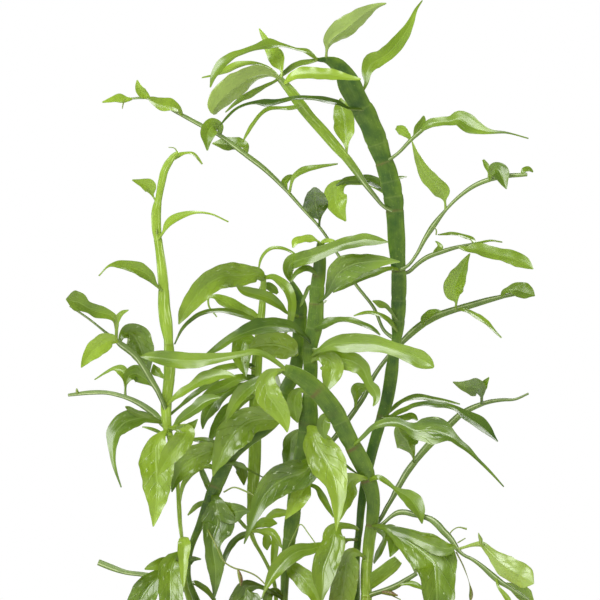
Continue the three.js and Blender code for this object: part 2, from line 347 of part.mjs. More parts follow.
const middleStem = {
  name: "stem_middle",
  color: 0x5f8c33,
  line: [
    [-4, 86, 4, 6.5], [-4, 118, 4, 6.5], [-4, 134, 4, 5.6], [-3.8, 150, 4, 5.2], [-3.5, 160, 4, 5.4],
    [-2.8, 172, 4, 6.5], [-1.5, 182, 4, 7.8], [-0.6, 189, 4, 8.6], [0.8, 198, 4.5, 9.8], [2.8, 212, 5, 10],
    [5, 228, 5, 10.4], [6.8, 238, 5.5, 10.8], [8.7, 247, 6, 11.4], [10.5, 255, 6, 12], [11.6, 264, 6, 12.8],
    [12.3, 272, 5.8, 12], [12.6, 280, 5.5, 10], [13.2, 291, 5, 9], [13.4, 302, 4.2, 9.4],
    [13, 312, 3.4, 10],
    [13.8, 319, 3, 10], [16, 329, 2.2, 11], [17, 340, 1.2, 9.9], [17.7, 354, -0.2, 9.8],
    [18.8, 362, -1, 8.8],
    [19.5, 372, -3, 8], [20, 383, -5, 5],
  ],
  leaves: [
    leaf([17.5, 343.5], [[23.5, 348.5, 2.4], [27, 355.5, 8], [32, 363, 16], [40, 368, 17],
      [48, 370, 13], [56, 371, 9], [64, 371.2, 4.5], [71.5, 370.6, 0.8]], [-5, -14, -20, -24], -15),
    leaf([19.8, 382.5], [[17, 384.6, 1.6], [13, 385.7, 5], [8.5, 385.3, 4.5], [4, 384, 5], [1.8, 379.8, 1]],
      [-8, -14], -20),
    leaf([20, 382.5], [[23, 384.3, 3], [27, 384.3, 2.6], [31.5, 382.8, 0.8]], [-7, -12], 0),
    leaf([18, 362], [[11, 366.5, 4], [5, 364, 3.4], [0.5, 357.5, 0.8]], [-4, -9], -20),
    leaf([15.5, 354.5], [[12.3, 354, 2.5], [10.3, 350, 2.5], [8, 344.5, 2], [6.5, 341.5, 0.8]], [4, 8], 0),
    leaf([16, 327], [[22, 330, 5.5], [28, 332, 4.6], [34, 333, 3.6], [40, 332.5, 3.2], [46, 330.5, 3],
      [51, 328.5, 3.4], [55, 326, 2.5], [58.5, 323, 0.8]], [-2, -12, -18], 45),
    leaf([14, 308], [[20, 313.5, 4], [27, 317, 8], [36, 317.8, 12], [46, 318, 12.5], [55, 317.5, 11],
      [63, 315.5, 9], [71, 312.8, 9.5], [79, 309.8, 11], [86, 306.6, 11], [91, 303.6, 7],
      [93.3, 302, 2]], [-6, -16, -26, -32], 0),
    leaf([14, 305], [[19, 309, 6], [25, 307, 13], [27.5, 300.5, 15], [26, 294.5, 11], [24.3, 289.5, 6],
      [23.4, 285.5, 1]], [-1, -5, -8], 0),
    leaf([14, 314], [[24, 310.5, 8], [34, 307.5, 12.5], [42, 305, 13], [47, 301.5, 10], [49.7, 296, 7],
      [51.5, 291.5, 6], [54.5, 287.5, 7.5], [56.3, 283, 5], [55.6, 279.5, 3.2], [54, 276.8, 0.8]],
      [0, -3, -5, -8], -10),
    leaf([12, 264], [[15.5, 258.5, 12], [17.5, 252.5, 19], [21.5, 245, 23], [26, 237, 22.5],
      [29.5, 228.5, 17], [31, 219, 11], [31, 210, 7], [30.6, 203, 4], [30, 195.8, 0.8]],
      [-6, -18, -26, -31], 0),
    leaf([5.5, 230], [[10, 225.5, 7], [7.5, 220, 12], [3.8, 214, 10.5], [0.3, 208.5, 6],
      [-3.2, 203.5, 0.8]], [-2, -7, -12], 0),
    leaf([10, 250], [[14.5, 242, 9], [11.5, 236, 16], [5, 232.5, 20], [-2, 230.4, 20.5],
      [-9, 226.5, 19], [-15.3, 220, 15.5], [-20, 213, 11], [-23, 206, 7], [-25.5, 199.5, 4.6],
      [-28, 192.5, 2.6], [-29.8, 187.3, 0.8]], [-4, -10, -16, -22, -26], 0),
    leaf([5, 227], [[12, 226, 2.4], [17.5, 223.5, 3], [20, 219.5, 4.4], [23, 214, 4], [25.6, 209.7, 3],
      [28.3, 204.5, 0.8]], [3, 2], 20),
    leaf([14, 318], [[8, 323.5, 3], [2, 327.5, 6], [-5, 329, 9.5], [-13, 329.3, 10], [-21, 327.8, 9.5],
      [-29, 325, 7.5], [-37, 321.4, 6], [-44, 317, 5], [-49.5, 313, 3.5], [-54.3, 310.8, 0.8]],
      [-4, -12, -18, -22], -45),
    leaf([10.8, 257], [[17, 256, 1.6], [23.4, 251.6, 1.8], [28.2, 245.8, 2], [33, 241.4, 1.8],
      [37.8, 237.2, 1.8], [44.4, 232.4, 0.8]], [7, 5, 3], 0),
    leaf([2, 208], [[-3, 207.5, 4], [-8, 207.5, 6], [-13, 205.5, 4], [-16.5, 203.5, 0.8]], [3, 1], 0),
    leaf([12.5, 283], [[7, 287, 4], [4, 284, 9], [3, 278, 10], [3.5, 272, 8], [5, 266, 0.8]], [4, 3, 3],
      0),
    leaf([11, 260], [[5, 259.5, 5], [1.5, 255, 10], [0.5, 248, 11], [-1, 241, 8], [-3.5, 233, 0.8]],
      [9, 11, 9], 0),
    leaf([-2.6, 174], [[1, 171.5, 9], [6, 167.5, 12], [11, 162, 13], [15.5, 156, 10],
      [18.5, 149.5, 5.5], [20.5, 145.5, 0.8]], [-3, -10, -12], 0),
    leaf([-3.8, 151], [[-12, 156, 3], [-22, 160, 4.5], [-28, 158.5, 12], [-29, 153, 19.5], [-29.5, 145, 20],
      [-30, 136, 13], [-31, 128, 0.8]], [-5, -12, -16, -20], 0),
    leaf([-3.8, 152], [[-10, 157, 4], [-14, 154.5, 6], [-14.5, 148, 6], [-15, 138, 0.8]], [-2, -6], 10),
    leaf([12, 265], [[12, 269, 2.2], [12, 273, 3.6], [12, 272, 4.3], [12.5, 266, 2.9], [13, 257, 0.8]],
      [28, 58, 84], 85),
    leaf([16, 333], [[17.5, 337, 2.2], [19, 341, 3.2], [21, 340, 4], [20.5, 334, 2.5], [20, 326, 0.8]],
      [22, 50, 76], 85),
    leaf([-0.5, 190], [[-1, 194, 2.2], [-1, 198, 3.6], [-2, 197, 4.3], [-1.5, 191, 2.5], [-1, 183, 0.8]],
      [22, 52, 78], 85),
  ],
  branches: [
    branch(
      [
        [9, 249, 6, 4], [20, 248, 14, 3], [27, 254, 22, 3.4], [37.7, 268, 28, 3.6], [48, 283, 30, 3.4],
        [55, 297, 32, 3], [63, 308, 33, 2.8], [72, 317.5, 34, 3.6], [78, 323.5, 35, 4.6],
        [86, 330, 36.5, 5],
        [94, 334.8, 38, 5], [104, 338.6, 41, 4.4], [116, 342, 43, 4.6], [128, 345.5, 46, 4],
        [138, 348, 48.5, 3], [157, 351.5, 53, 2.2],
      ],
      [
        leaf([107.5, 339.5], [[108, 344.5, 2], [106.3, 349.3, 10], [106.3, 353.5, 13.5], [108.3, 359, 12.5],
          [111.5, 365.5, 8.5], [114, 371, 4.5], [117, 376, 0.8]], [40, 34, 26], 10),
        leaf([110, 340.2], [[115, 338.7, 2.6], [121, 335.7, 3.4], [127, 331.3, 3.2], [132.5, 326, 2],
          [137.3, 321.3, 0.8]], [38, 22], 50),
        leaf([86, 330], [[87, 333.5, 4], [90.5, 336.5, 5], [94.5, 338, 3.5], [99, 338.3, 0.8]],
          [34, 28], 30),
        leaf([137.5, 348], [[139, 351, 3], [142, 352.3, 4], [147, 353, 9], [152, 351.5, 11], [156, 350, 7],
          [159, 348.5, 0.8]], [46, 36], 20),
        leaf([42.5, 275], [[42.8, 280, 2.4], [43.2, 284, 5.5], [44, 287.5, 9], [48, 289.3, 5],
          [53, 289.8, 3],
          [57, 288.5, 0.8]], [27, 20, 12], 0),
      ],
    ),
  ],
};

const sweepingStem = {
  name: "stem_sweeping",
  color: 0x47692a,
  line: [
    [-48, 86, -2, 6], [-48, 118, -2, 6], [-54, 132, 0, 5.6], [-61, 151, 1, 4.8], [-64, 158, 2, 4.4],
    [-66, 165, 2, 3.8], [-66, 175, 2, 3.6], [-64.2, 185, 2, 4], [-61.8, 192, 1.5, 4.6], [-59.6, 197, 1, 5],
    [-56.2, 206, 0, 6], [-52.6, 214.5, -1.5, 8], [-48.6, 223.5, -3, 9.4], [-45.2, 231.5, -4, 9.4],
    [-41.6, 239, -4, 9], [-36.8, 246.5, -4, 9], [-30.5, 252.4, -2.5, 9], [-23.5, 257.7, 0, 9],
    [-16.6, 262.3, 3, 9], [-9, 270, 6, 9], [-4, 285, 10, 9], [3, 299, 14, 9], [5, 310, 16, 8.4],
    [5.7, 320, 17, 8.6], [6.6, 333, 17, 9], [7, 341, 17, 8.4], [5.5, 348, 17, 6.4], [0.5, 359, 16, 2.4],
  ],
  leaves: [
    leaf([-9.5, 269.5], [[-8, 268.5, 7], [-13, 268.5, 13], [-20, 268.5, 16], [-27.5, 266.5, 19],
      [-33.5, 261.8, 22], [-39, 255.5, 20.5], [-43, 249, 15], [-46, 242, 10], [-48.4, 236.8, 5],
      [-50.1, 231.3, 0.8]], [0, -8, -14, -18], 0),
    leaf([-50.5, 219], [[-48, 214, 10], [-47, 206, 20], [-46.5, 200, 21], [-48.5, 195, 18],
      [-49.8, 190, 13.9],
      [-50.2, 185, 10.4], [-49.4, 179, 11.2], [-48.5, 173, 11.2], [-48.3, 166, 8.4], [-48.5, 160, 5],
      [-49.4, 151.5, 0.8]], [-12, -18, -22, -24], 0),
    leaf([-50.5, 219], [[-46, 211, 10], [-40, 207.5, 14], [-35, 208, 12], [-31, 208.8, 7.5],
      [-26.2, 208.3, 0.8]], [-12, -16, -17], 0),
    leaf([-41, 240], [[-36.5, 239.5, 3], [-32.5, 237, 7], [-31, 233, 7], [-30.3, 229, 4],
      [-29.9, 225.5, 0.8]],
      [2, 12], 0),
    leaf([-41.5, 239], [[-35, 239.5, 3], [-29, 236.5, 2], [-23, 233.3, 1.2], [-16, 229.8, 0.8]],
      [-8, -6, 6], 0),
    leaf([-41.5, 239.5], [[-46.5, 247, 7], [-52, 247.5, 12.5], [-58.5, 245, 16], [-65, 241.5, 16],
      [-70.3, 236, 13], [-73.7, 230.5, 8.5], [-75.6, 225.5, 4], [-76.8, 221, 0.8]],
      [-10, -14, -17, -20], 0),
    leaf([-38.5, 244.5], [[-44, 251, 2.4], [-50, 253, 3.4], [-56, 254.2, 4], [-61, 255, 3],
      [-66, 255.5, 0.8]],
      [-3, 0, 2], -45),
    leaf([-46, 230], [[-51, 237.3, 3], [-56, 237.5, 3.2], [-61.5, 234.3, 3], [-66, 230.5, 3.4],
      [-69.3, 226, 3],
      [-70.6, 221, 2], [-71.2, 216, 1.4], [-71.8, 211.8, 0.8]], [3, 6, 6], -45),
    leaf([-53, 213.5], [[-57, 213.6, 3.2], [-60.5, 212, 3.2], [-63.5, 209, 2.6], [-66.5, 205.9, 0.8]],
      [3, 8], -30),
    leaf([-51, 218], [[-53.5, 225.5, 4], [-56, 231.5, 4], [-58.7, 238, 2.5], [-60, 241, 0.8]], [5, 6],
      0),
    leaf([1.5, 357], [[-1.5, 363.5, 5], [0.5, 369.6, 9.2], [6, 372, 10], [14, 374.3, 9], [21, 377, 8],
      [28, 379.8, 7.5], [35, 382.2, 8.4], [42, 383.7, 8.2], [49, 385, 8.2], [56, 384.3, 6],
      [63.7, 383.5, 0.8]], [10, -9, -14, -18, -22], 15),
    leaf([1.2, 357.5], [[1, 366, 1.6], [3, 375, 1.6], [-1, 378, 1.8], [-7, 379.8, 2], [-12, 379.3, 2],
      [-16, 376.5, 2], [-19, 372, 1.8], [-20.3, 366.5, 0.8]], [18, 24, 28, 32], -40),
    leaf([6.5, 335], [[-2, 337.5, 1.8], [-7, 342.5, 5], [-12, 346.3, 7], [-19, 348.8, 7], [-26, 350.5, 6.5],
      [-31, 352.3, 5], [-35, 355.5, 0.8]], [13, 8, 2, -2], -25),
    leaf([5, 310], [[3, 311.5, 6], [0.5, 313.5, 12.5], [-5, 315.8, 16.5], [-12, 317, 18],
      [-18, 316.6, 15], [-23, 315.3, 9], [-27, 314, 1]], [8, 0, -6, -12], 0),
    leaf([-65.5, 161], [[-61.5, 161.8, 3.2], [-57, 159.3, 3.6], [-53, 155.8, 3.4], [-50, 152, 2.6],
      [-47.5, 148, 0.8]], [6, 12], 30),
    leaf([-48.6, 224], [[-48.5, 228, 1.8], [-48, 232, 3.2], [-47, 231, 4], [-48, 225, 2.5], [-49, 216, 0.8]],
      [16, 46, 70], 85),
    leaf([-4, 285], [[-6, 290, 1.8], [-8, 294, 3.2], [-9, 293, 4.3], [-8, 287, 2.5], [-7, 278, 0.8]],
      [28, 58, 84], 85),
  ],
  branches: [],
};

const leftStem = {
  name: "stem_left",
  color: 0x96b942,
  line: [
    [-58, 86, -20, 5], [-58, 118, -20, 5], [-61, 134, -18, 4.6], [-65, 150, -16, 4], [-67.5, 158, -15, 3.6],
    [-68.7, 166, -14, 3], [-69.4, 180, -13, 2.6], [-70.4, 192, -13, 2.5], [-71.4, 200, -13, 2.7],
    [-72, 210, -13, 3], [-72.8, 223, -13, 2.6], [-73.6, 234, -13, 3], [-75.2, 244, -13, 3.6],
    [-77, 252, -13, 4.2], [-78.2, 258, -13, 4.6], [-79.8, 263, -13, 6], [-80.5, 271, -14, 6.9],
    [-80.3, 280, -14, 7.1], [-79.3, 288, -14, 7], [-78.4, 297, -15, 7.6], [-78.5, 310, -15.6, 7],
    [-79, 320, -16.4, 6.3], [-80.4, 330, -17, 8.2], [-81.7, 340, -17.8, 8], [-82.2, 354, -18.6, 7],
    [-83.5, 368, -19.6, 6.2], [-85.2, 381, -20.4, 5.4], [-86.8, 393, -21.2, 6.2], [-86.8, 404, -22, 6.2],
    [-85.3, 412, -22.6, 4.6], [-83, 424, -23.8, 5], [-81.5, 430, -24.4, 5], [-78.5, 435.5, -25, 4.8],
    [-75, 440, -25.6, 3.5], [-72.5, 442, -26, 1.8],
  ],
  leaves: [
    leaf([-78, 435.5], [[-73, 439.5, 3], [-68, 441.3, 1.6], [-63, 440.8, 2.2], [-60, 438, 1.8],
      [-57, 434, 0.8]],
      [-22, -14], 40),
    leaf([-86, 408.5], [[-89.3, 413.8, 1.6], [-91, 419, 8.5], [-95, 421.3, 6.8], [-99, 422.5, 3.6],
      [-102.5, 423.8, 0.8]], [-22, -28], -20),
    leaf([-85.4, 385], [[-82.3, 390, 1.6], [-79.5, 395, 5], [-75, 398.5, 6], [-69, 401, 4],
      [-62, 402.6, 1.8],
      [-52, 401.8, 1.2], [-40, 396.6, 0.8]], [-26, -34, -44], 40),
    leaf([-82.2, 351.5], [[-86.5, 355, 1.8], [-91, 361, 6.5], [-97.5, 365.2, 8.4], [-105, 367.6, 7],
      [-112, 368.8, 4.6], [-117.5, 368, 1.6], [-124.2, 361.5, 0.8]], [-22, -32, -42], -30),
    leaf([-78.7, 294], [[-84.5, 297.5, 4], [-87, 299.5, 6.5], [-88.8, 304, 0.8]], [-11, -8], 0),
    leaf([-79.5, 261.5], [[-83.5, 257.5, 6], [-86.3, 252, 14], [-86.8, 245, 20.5], [-86.6, 237, 23],
      [-86.4, 230, 20], [-86.3, 223, 18], [-86.6, 216.7, 14], [-87.3, 210, 9], [-88, 203.3, 4.4],
      [-88.9, 198.5, 0.8]], [-18, -24, -28, -30], 0),
    leaf([-79.5, 262.5], [[-72, 263.5, 3], [-67, 261, 9], [-69, 256, 13], [-74, 250, 13.5],
      [-79, 243.5, 11], [-82.5, 238, 7], [-86, 231.2, 0.8]], [-20, -32, -38, -44], 0),
    leaf([-79.5, 262.5], [[-73.5, 262, 3], [-68, 261, 8], [-63.5, 264.5, 5], [-60, 268.3, 0.8]],
      [-20, -28], 0),
    leaf([-78.2, 257.5], [[-83.5, 259.3, 2], [-88, 261.3, 2.4], [-92, 262.6, 1.8], [-96, 263.3, 0.8]],
      [-11, -6], 0),
    leaf([-80.4, 277], [[-76, 281.5, 2.6], [-70, 286, 5], [-64, 289.5, 5.5], [-58, 293.5, 8],
      [-52, 295.5, 8.5],
      [-46, 297, 6.5], [-40, 297, 4], [-35.5, 296, 0.8]], [-20, -28, -34], 35),
    leaf([-79, 260.5], [[-75, 263.5, 3], [-72, 267.5, 4.5], [-68.3, 270.5, 5.5], [-62, 275, 7],
      [-57, 279, 8.5],
      [-51, 281.5, 6], [-45, 282.5, 0.8]], [-17, -26, -30], 30),
    leaf([-80.5, 269.5], [[-74, 274.5, 1.6], [-67, 280.5, 2.6], [-60, 285.5, 3.4], [-53, 290.5, 4],
      [-47, 294.5, 2.6], [-44, 297, 0.8]], [-10, -6, 2], 50),
    leaf([-70.4, 191.5], [[-69, 189.5, 7.5], [-68.8, 187, 8.6], [-69, 182, 8], [-69.2, 176, 6.5],
      [-69.2, 169, 4.5], [-69.2, 163, 3], [-69.2, 159, 0.8]], [-25, -34, -40], 0),
    leaf([-68.5, 163], [[-70.5, 174, 4], [-74, 177.5, 10], [-76.5, 172, 17], [-77.3, 163, 16.5],
      [-77.3, 152, 15.5],
      [-78.5, 138, 10], [-80, 124, 0.8]], [-21, -28, -40, -46], 0),
    leaf([-68.5, 163], [[-70.5, 174, 4], [-80, 174.5, 9], [-87, 173.5, 7], [-91.5, 172, 4],
      [-94.5, 170.8, 0.8]],
      [-20, -24, -25], 0),
    leaf([-68.5, 163], [[-67.5, 172, 3], [-66, 176, 6], [-63, 177.5, 4], [-60.5, 177.6, 2.4],
      [-57.8, 177.4, 0.8]], [-19, -24], 0),
    leaf([-68.3, 161], [[-76, 164, 5], [-84, 166, 10], [-90, 161, 15], [-96, 152.5, 17], [-101, 143, 14],
      [-106, 134, 8], [-111, 126, 0.8]], [-9, -12, -16, -24], -10),
    leaf([-78.8, 317], [[-79, 321, 2.2], [-80, 325, 3.2], [-81, 323, 4], [-80.5, 317, 2.5], [-80, 308, 0.8]],
      [2, 32, 58], 85),
    leaf([-82.2, 352], [[-82, 356, 1.8], [-82, 360, 3.2], [-83, 359, 3.6], [-82.5, 353, 2.2],
      [-82, 345, 0.8]],
      [-2, 28, 54], 85),
  ],
  branches: [
    branch(
      [
        [-80.6, 274, -14, 3], [-82.5, 279, -17, 3], [-84.3, 283, -19, 3.2], [-86.3, 287.5, -21, 3.6],
        [-88.5, 291, -22, 4], [-92, 297, -24, 4.5], [-96, 303.5, -27, 4], [-100, 309, -30, 4],
        [-105, 313.5, -33, 4.5], [-110, 317, -36, 4], [-113, 319.5, -37.5, 3], [-120, 325, -41, 1.8],
        [-130, 333, -45, 1.5], [-143, 342, -50, 1.5],
      ],
      [
        leaf([-113, 319.5], [[-112.8, 327, 2.2], [-113.5, 333, 4.5], [-118, 336.3, 6], [-126, 338.5, 8.5],
          [-132, 341.3, 7.5], [-137, 344.5, 12], [-141, 345.5, 12.5], [-145.5, 346.3, 1]],
          [-42, -50, -60], -20),
        leaf([-113, 319.5], [[-112.8, 327, 2.2], [-112.5, 333, 4], [-109, 337.5, 3], [-105, 339.3, 0.8]],
          [-42, -47], 0),
        leaf([-112, 318.8], [[-116, 320, 8], [-121, 318, 12], [-126, 314.3, 12], [-130.5, 309.5, 9],
          [-134, 304.8, 4], [-135.6, 302, 0.8]], [-42, -49, -56], 0),
        leaf([-111, 317.8], [[-109, 322.5, 5], [-105.5, 324.5, 12], [-101, 322, 18], [-97.3, 315.5, 18],
          [-94.3, 307, 11], [-91.7, 297, 0.8]], [-30, -18, -12], 0),
      ],
    ),
    branch(
      [
        [-80, 263.5, -13, 5], [-84.5, 267.5, -13, 4.6], [-88, 271.7, -12, 4.4], [-92.3, 275, -11.5, 4.2],
        [-97.7, 278.5, -10, 3.8], [-104.3, 281.7, -8.5, 3.2], [-110.3, 283.7, -6.5, 3],
        [-118.3, 285.5, -3.5, 2.8], [-128.3, 285.7, 1, 3], [-144, 284, 8, 2],
      ],
      [
        leaf([-107, 282.8], [[-107, 290, 1.8], [-107, 295.5, 5], [-109.5, 300, 7], [-114, 301.3, 3],
          [-120, 298.5, 1.6], [-127, 294, 0.8]], [-4, 0, 8], -10),
        leaf([-107, 282.8], [[-106.8, 291, 2], [-104, 297, 9], [-100, 298, 11], [-95.5, 295.5, 9],
          [-91, 292, 4], [-89, 289.5, 0.8]], [-4, 0, 4], 0),
        leaf([-83, 266.5], [[-89.7, 268.3, 5], [-95, 269.3, 7.3], [-100.3, 268.7, 10.5],
          [-105.7, 267.3, 12.5],
          [-110.7, 263.7, 12.7], [-114, 259, 10.5], [-115, 253.3, 7.5], [-115, 246.3, 4.6],
          [-114.5, 240.3, 3], [-113, 234, 1.8], [-109.7, 224, 0.8]], [-18, -26, -34, -40], -25),
        leaf([-83, 266.5], [[-95, 270.5, 4], [-101, 273, 4], [-105, 275.5, 3], [-107, 276.5, 0.8]],
          [-20, -26], 0),
      ],
    ),
    branch([[-67.3, 157, -15, 3.4], [-80, 163, -2, 3.5], [-90, 166.6, 3, 3.2], [-97, 167.6, 6, 3.2],
      [-106, 168.7, 9, 3.2], [-115, 171.6, 13, 4.2], [-124.5, 175.4, 16, 4.2]]),
  ],
};

const backStem = {
  name: "stem_back",
  color: 0x8db04e,
  line: [
    [-9, 86, 24, 5], [-9, 118, 24, 5], [-9, 134, 24, 3.8], [-9, 150, 24, 2.8], [-10.5, 163, 24, 2.6],
    [-14, 172, 24.5, 2.4], [-19, 181.5, 26, 2.4], [-23, 188.5, 27, 2.8], [-25.4, 195, 27, 3.6],
    [-25.6, 204, 26, 5.4], [-24.6, 213, 25, 6.6], [-24.2, 221, 25, 7.6], [-23.7, 230, 25, 8.2],
    [-23, 241, 25, 8.3], [-22.7, 255, 25.5, 8.2], [-22.8, 272, 26, 8], [-22.2, 290, 26.5, 7.6],
    [-21.5, 305, 27, 7], [-20, 322, 27.5, 6], [-18.2, 340, 29, 4.8], [-17, 362, 31, 3.5],
  ],
  leaves: [
    leaf([-22.2, 296], [[-28, 295.5, 4], [-34, 294.5, 6], [-40, 291.5, 7], [-46, 288.5, 7], [-52, 286, 5],
      [-57, 283.5, 0.8]], [22, 12, 4], -30),
    leaf([-22.3, 292], [[-30, 290.5, 3.5], [-37, 288, 5], [-44, 284, 7], [-49.5, 278.5, 10],
      [-53.5, 272.5, 8], [-55.8, 267, 4.5], [-56.7, 262, 0.8]], [24, 18, 8], -20),
    leaf([-22.4, 284], [[-29, 281, 4], [-36, 277, 8], [-42, 271, 10], [-47, 264, 8], [-51, 257, 4],
      [-53, 252, 0.8]], [22, 16, 8], 0),
    leaf([-21.8, 303], [[-30, 304, 3], [-38, 302.5, 4.5], [-46, 301, 4], [-52, 299, 2.5], [-58, 297, 0.8]],
      [26, 18], -40),
    leaf([-21, 312], [[-24.5, 319, 6], [-29, 319.5, 12], [-31.2, 313.5, 14], [-31, 306.5, 11],
      [-29.5, 300, 5], [-28.5, 296, 0.8]], [24, 20, 16], 0),
    leaf([-19.5, 332], [[-27, 334.5, 3], [-35, 337.3, 3.6], [-43, 338.8, 3.4], [-51, 338.6, 3],
      [-58, 336.8, 2.6],
      [-64, 333, 2.4], [-69.5, 327.5, 2.2], [-75, 317, 0.8]], [26, 20, 12, 4], -45),
    leaf([-19.3, 333.5], [[-26, 336.5, 7], [-32, 339, 8], [-38, 342.3, 8], [-44, 345.3, 7], [-49, 348, 3],
      [-52.7, 347.5, 1.5], [-53, 343, 1.2], [-47.5, 334.8, 0.8]], [29, 33, 36], -30),
    leaf([-17.3, 358], [[-20, 362, 8], [-26, 362.5, 12], [-33, 362, 15.5], [-40, 362, 16],
      [-47, 360, 15.5], [-54.5, 355, 14.5], [-60.5, 349, 13], [-65.5, 342.5, 10.5],
      [-69.3, 336.5, 7], [-72.3, 330, 0.8]], [26, 16, 4, -4, -8], 0),
    leaf([-17.3, 360], [[-12, 361, 3.5], [-6.5, 358.2, 5.5], [-1.3, 352, 6.5], [1.2, 345, 6],
      [1, 337.5, 4.8],
      [-0.5, 330.5, 3.6], [-4, 321.5, 0.8]], [26, 12, 6, 9.5], 20),
    leaf([-17.8, 350], [[-18.5, 353.5, 3], [-15, 355, 5], [-10.5, 352.5, 5], [-8, 350, 2]], [34, 38], 0),
    leaf([-25.5, 197], [[-21, 199.5, 4], [-17, 201, 6.5], [-12.5, 201.2, 6], [-8.3, 200.6, 0.8]],
      [29, 30], 20),
    leaf([-25.4, 195], [[-21, 195.6, 2], [-16.5, 196, 3.4], [-12, 195, 5], [-9, 191.5, 4.6],
      [-7, 187.8, 3.4],
      [-5, 184.5, 0.8]], [22, 16, 12], 0),
    leaf([-25.4, 195], [[-20, 195, 1.6], [-16, 193.5, 3.5], [-15, 190, 5.8], [-15.2, 186.5, 5],
      [-14.8, 183.2, 0.8]], [31, 34], 0),
    leaf([-25.4, 195.5], [[-19, 196.5, 1.6], [-13, 195, 2.4], [-10, 191, 4], [-9.8, 186.5, 5],
      [-10.3, 181, 4.6],
      [-10.8, 175.5, 3.4], [-11.6, 166, 0.8]], [22, 19, 18], 0),
    leaf([-25.4, 195], [[-30, 193.3, 4], [-35, 190.3, 4.2], [-39, 185.5, 4.2], [-41.8, 180, 3.6],
      [-43.2, 175, 2.6], [-44, 170.5, 0.8]], [24, 18, 16], 0),
    leaf([-25.6, 196], [[-29, 198.3, 2.4], [-32, 201.6, 2.4], [-35.5, 205.5, 2], [-38, 208, 0.8]],
      [26, 24], 0),
    leaf([-22.8, 270], [[-22.5, 274, 2.2], [-22, 278, 3.6], [-23, 277, 4], [-22.5, 271, 2.5],
      [-22, 262, 0.8]],
      [38, 66, 92], 85),
    leaf([-24, 225], [[-24.5, 229, 2.2], [-25, 233, 3.2], [-25, 232, 3.6], [-24.5, 226, 2.2],
      [-24, 218, 0.8]],
      [34, 62, 86], 85),
    leaf([-18, 345], [[-18, 350, 2.2], [-18, 355, 3.2], [-18, 355, 3.6], [-18, 349, 2.2], [-18, 341, 0.8]],
      [42, 70, 94], 85),
  ],
  branches: [],
};

const stems = [tallStem, archingStem, middleStem, sweepingStem, leftStem, backStem];

// The place on a stem's line nearest to x, z as seen from the front.
function onLine(line, [x, z]) {
  let best = null;
  for (let i = 0; i + 1 < line.length; i += 1) {
    const [ax, az, ay] = line[i];
    const [bx, bz, by] = line[i + 1];
    const run = (bx - ax) ** 2 + (bz - az) ** 2;
    const along = ((x - ax) * (bx - ax) + (z - az) * (bz - az)) / run;
    const t = Math.min(1, Math.max(0, along));
    const foot = [ax + t * (bx - ax), az + t * (bz - az), ay + t * (by - ay)];
    const off = Math.hypot(x - foot[0], z - foot[1]);
    if (!best || off < best.off) {
      best = { off, foot };
    }
  }
  return best.foot;
}

// Directions at each point of a line: along it, across it and out of its face. The face looks to the
// front; where the line itself runs to the front or back, across is carried on from the point before.
function framesAlong(points, turnFrom, turnTo) {
  const last = points.length - 1;
  const tangents = points.map((_, i) => {
    const ahead = points[Math.min(i + 1, last)];
    const behind = points[Math.max(i - 1, 0)];
    return ahead.clone().sub(behind).normalize();
  });
  const facings = tangents.map((along) => new THREE.Vector3().crossVectors(inward, along));
  const first = facings.find((facing) => facing.length() > fullFacing) ?? sideways;
  const across = first.clone();
  return points.map((point, i) => {
    const along = tangents[i];
    across.addScaledVector(along, -across.dot(along)).normalize();
    const share = THREE.MathUtils.smoothstep(facings[i].length(), leastFacing, fullFacing);
    const facing = facings[i].clone().normalize();
    across.lerp(facing.multiplyScalar(Math.sign(facing.dot(across)) || 1), share).normalize();
    const out = new THREE.Vector3().crossVectors(across, along);
    const turn = THREE.MathUtils.degToRad(THREE.MathUtils.lerp(turnFrom, turnTo, i / last));
    const turnedAcross = across.clone().multiplyScalar(Math.cos(turn));
    turnedAcross.addScaledVector(out, Math.sin(turn));
    const turnedOut = new THREE.Vector3().crossVectors(turnedAcross, along);
    return { point, along, across: turnedAcross, out: turnedOut };
  });
}

// One cross section from its columns, each a place across, a lift and a thickness.
function section(frame, columns) {
  const face = (side) =>
    columns.map(({ where, lift, thickness }) =>
      frame.point
        .clone()
        .addScaledVector(frame.across, where)
        .addScaledVector(frame.out, lift + (side * thickness) / 2),
    );
  return { upper: face(1), lower: face(-1) };
}

// A closed body through a row of cross sections, both faces split into triangles alike.
function loft(sections) {
  const columns = sections[0].upper.length;
  const positions = [];
  for (const { upper, lower } of sections) {
    for (const corner of [...upper, ...lower]) {
      positions.push(corner.x, corner.y, corner.z);
    }
  }
  const upperAt = (j, i) => j * columns * 2 + i;
  const lowerAt = (j, i) => (j * 2 + 1) * columns + i;
  const side = columns - 1;
  const end = sections.length - 1;
  const triangles = [];
  const quad = (a, b, c, d) => triangles.push(a, b, c, a, c, d);
  for (let j = 0; j < end; j += 1) {
    for (let i = 0; i < side; i += 1) {
      quad(upperAt(j, i), upperAt(j, i + 1), upperAt(j + 1, i + 1), upperAt(j + 1, i));
      triangles.push(lowerAt(j, i), lowerAt(j + 1, i + 1), lowerAt(j, i + 1));
      triangles.push(lowerAt(j, i), lowerAt(j + 1, i), lowerAt(j + 1, i + 1));
    }
    quad(lowerAt(j, 0), upperAt(j, 0), upperAt(j + 1, 0), lowerAt(j + 1, 0));
    quad(upperAt(j, side), lowerAt(j, side), lowerAt(j + 1, side), upperAt(j + 1, side));
  }
  for (let i = 0; i < side; i += 1) {
    quad(lowerAt(0, i), lowerAt(0, i + 1), upperAt(0, i + 1), upperAt(0, i));
    quad(upperAt(end, i), upperAt(end, i + 1), lowerAt(end, i + 1), lowerAt(end, i));
  }
  const geometry = new THREE.BufferGeometry();
  geometry.setAttribute("position", new THREE.Float32BufferAttribute(positions, 3));
  geometry.setIndex(triangles);
  return geometry;
}

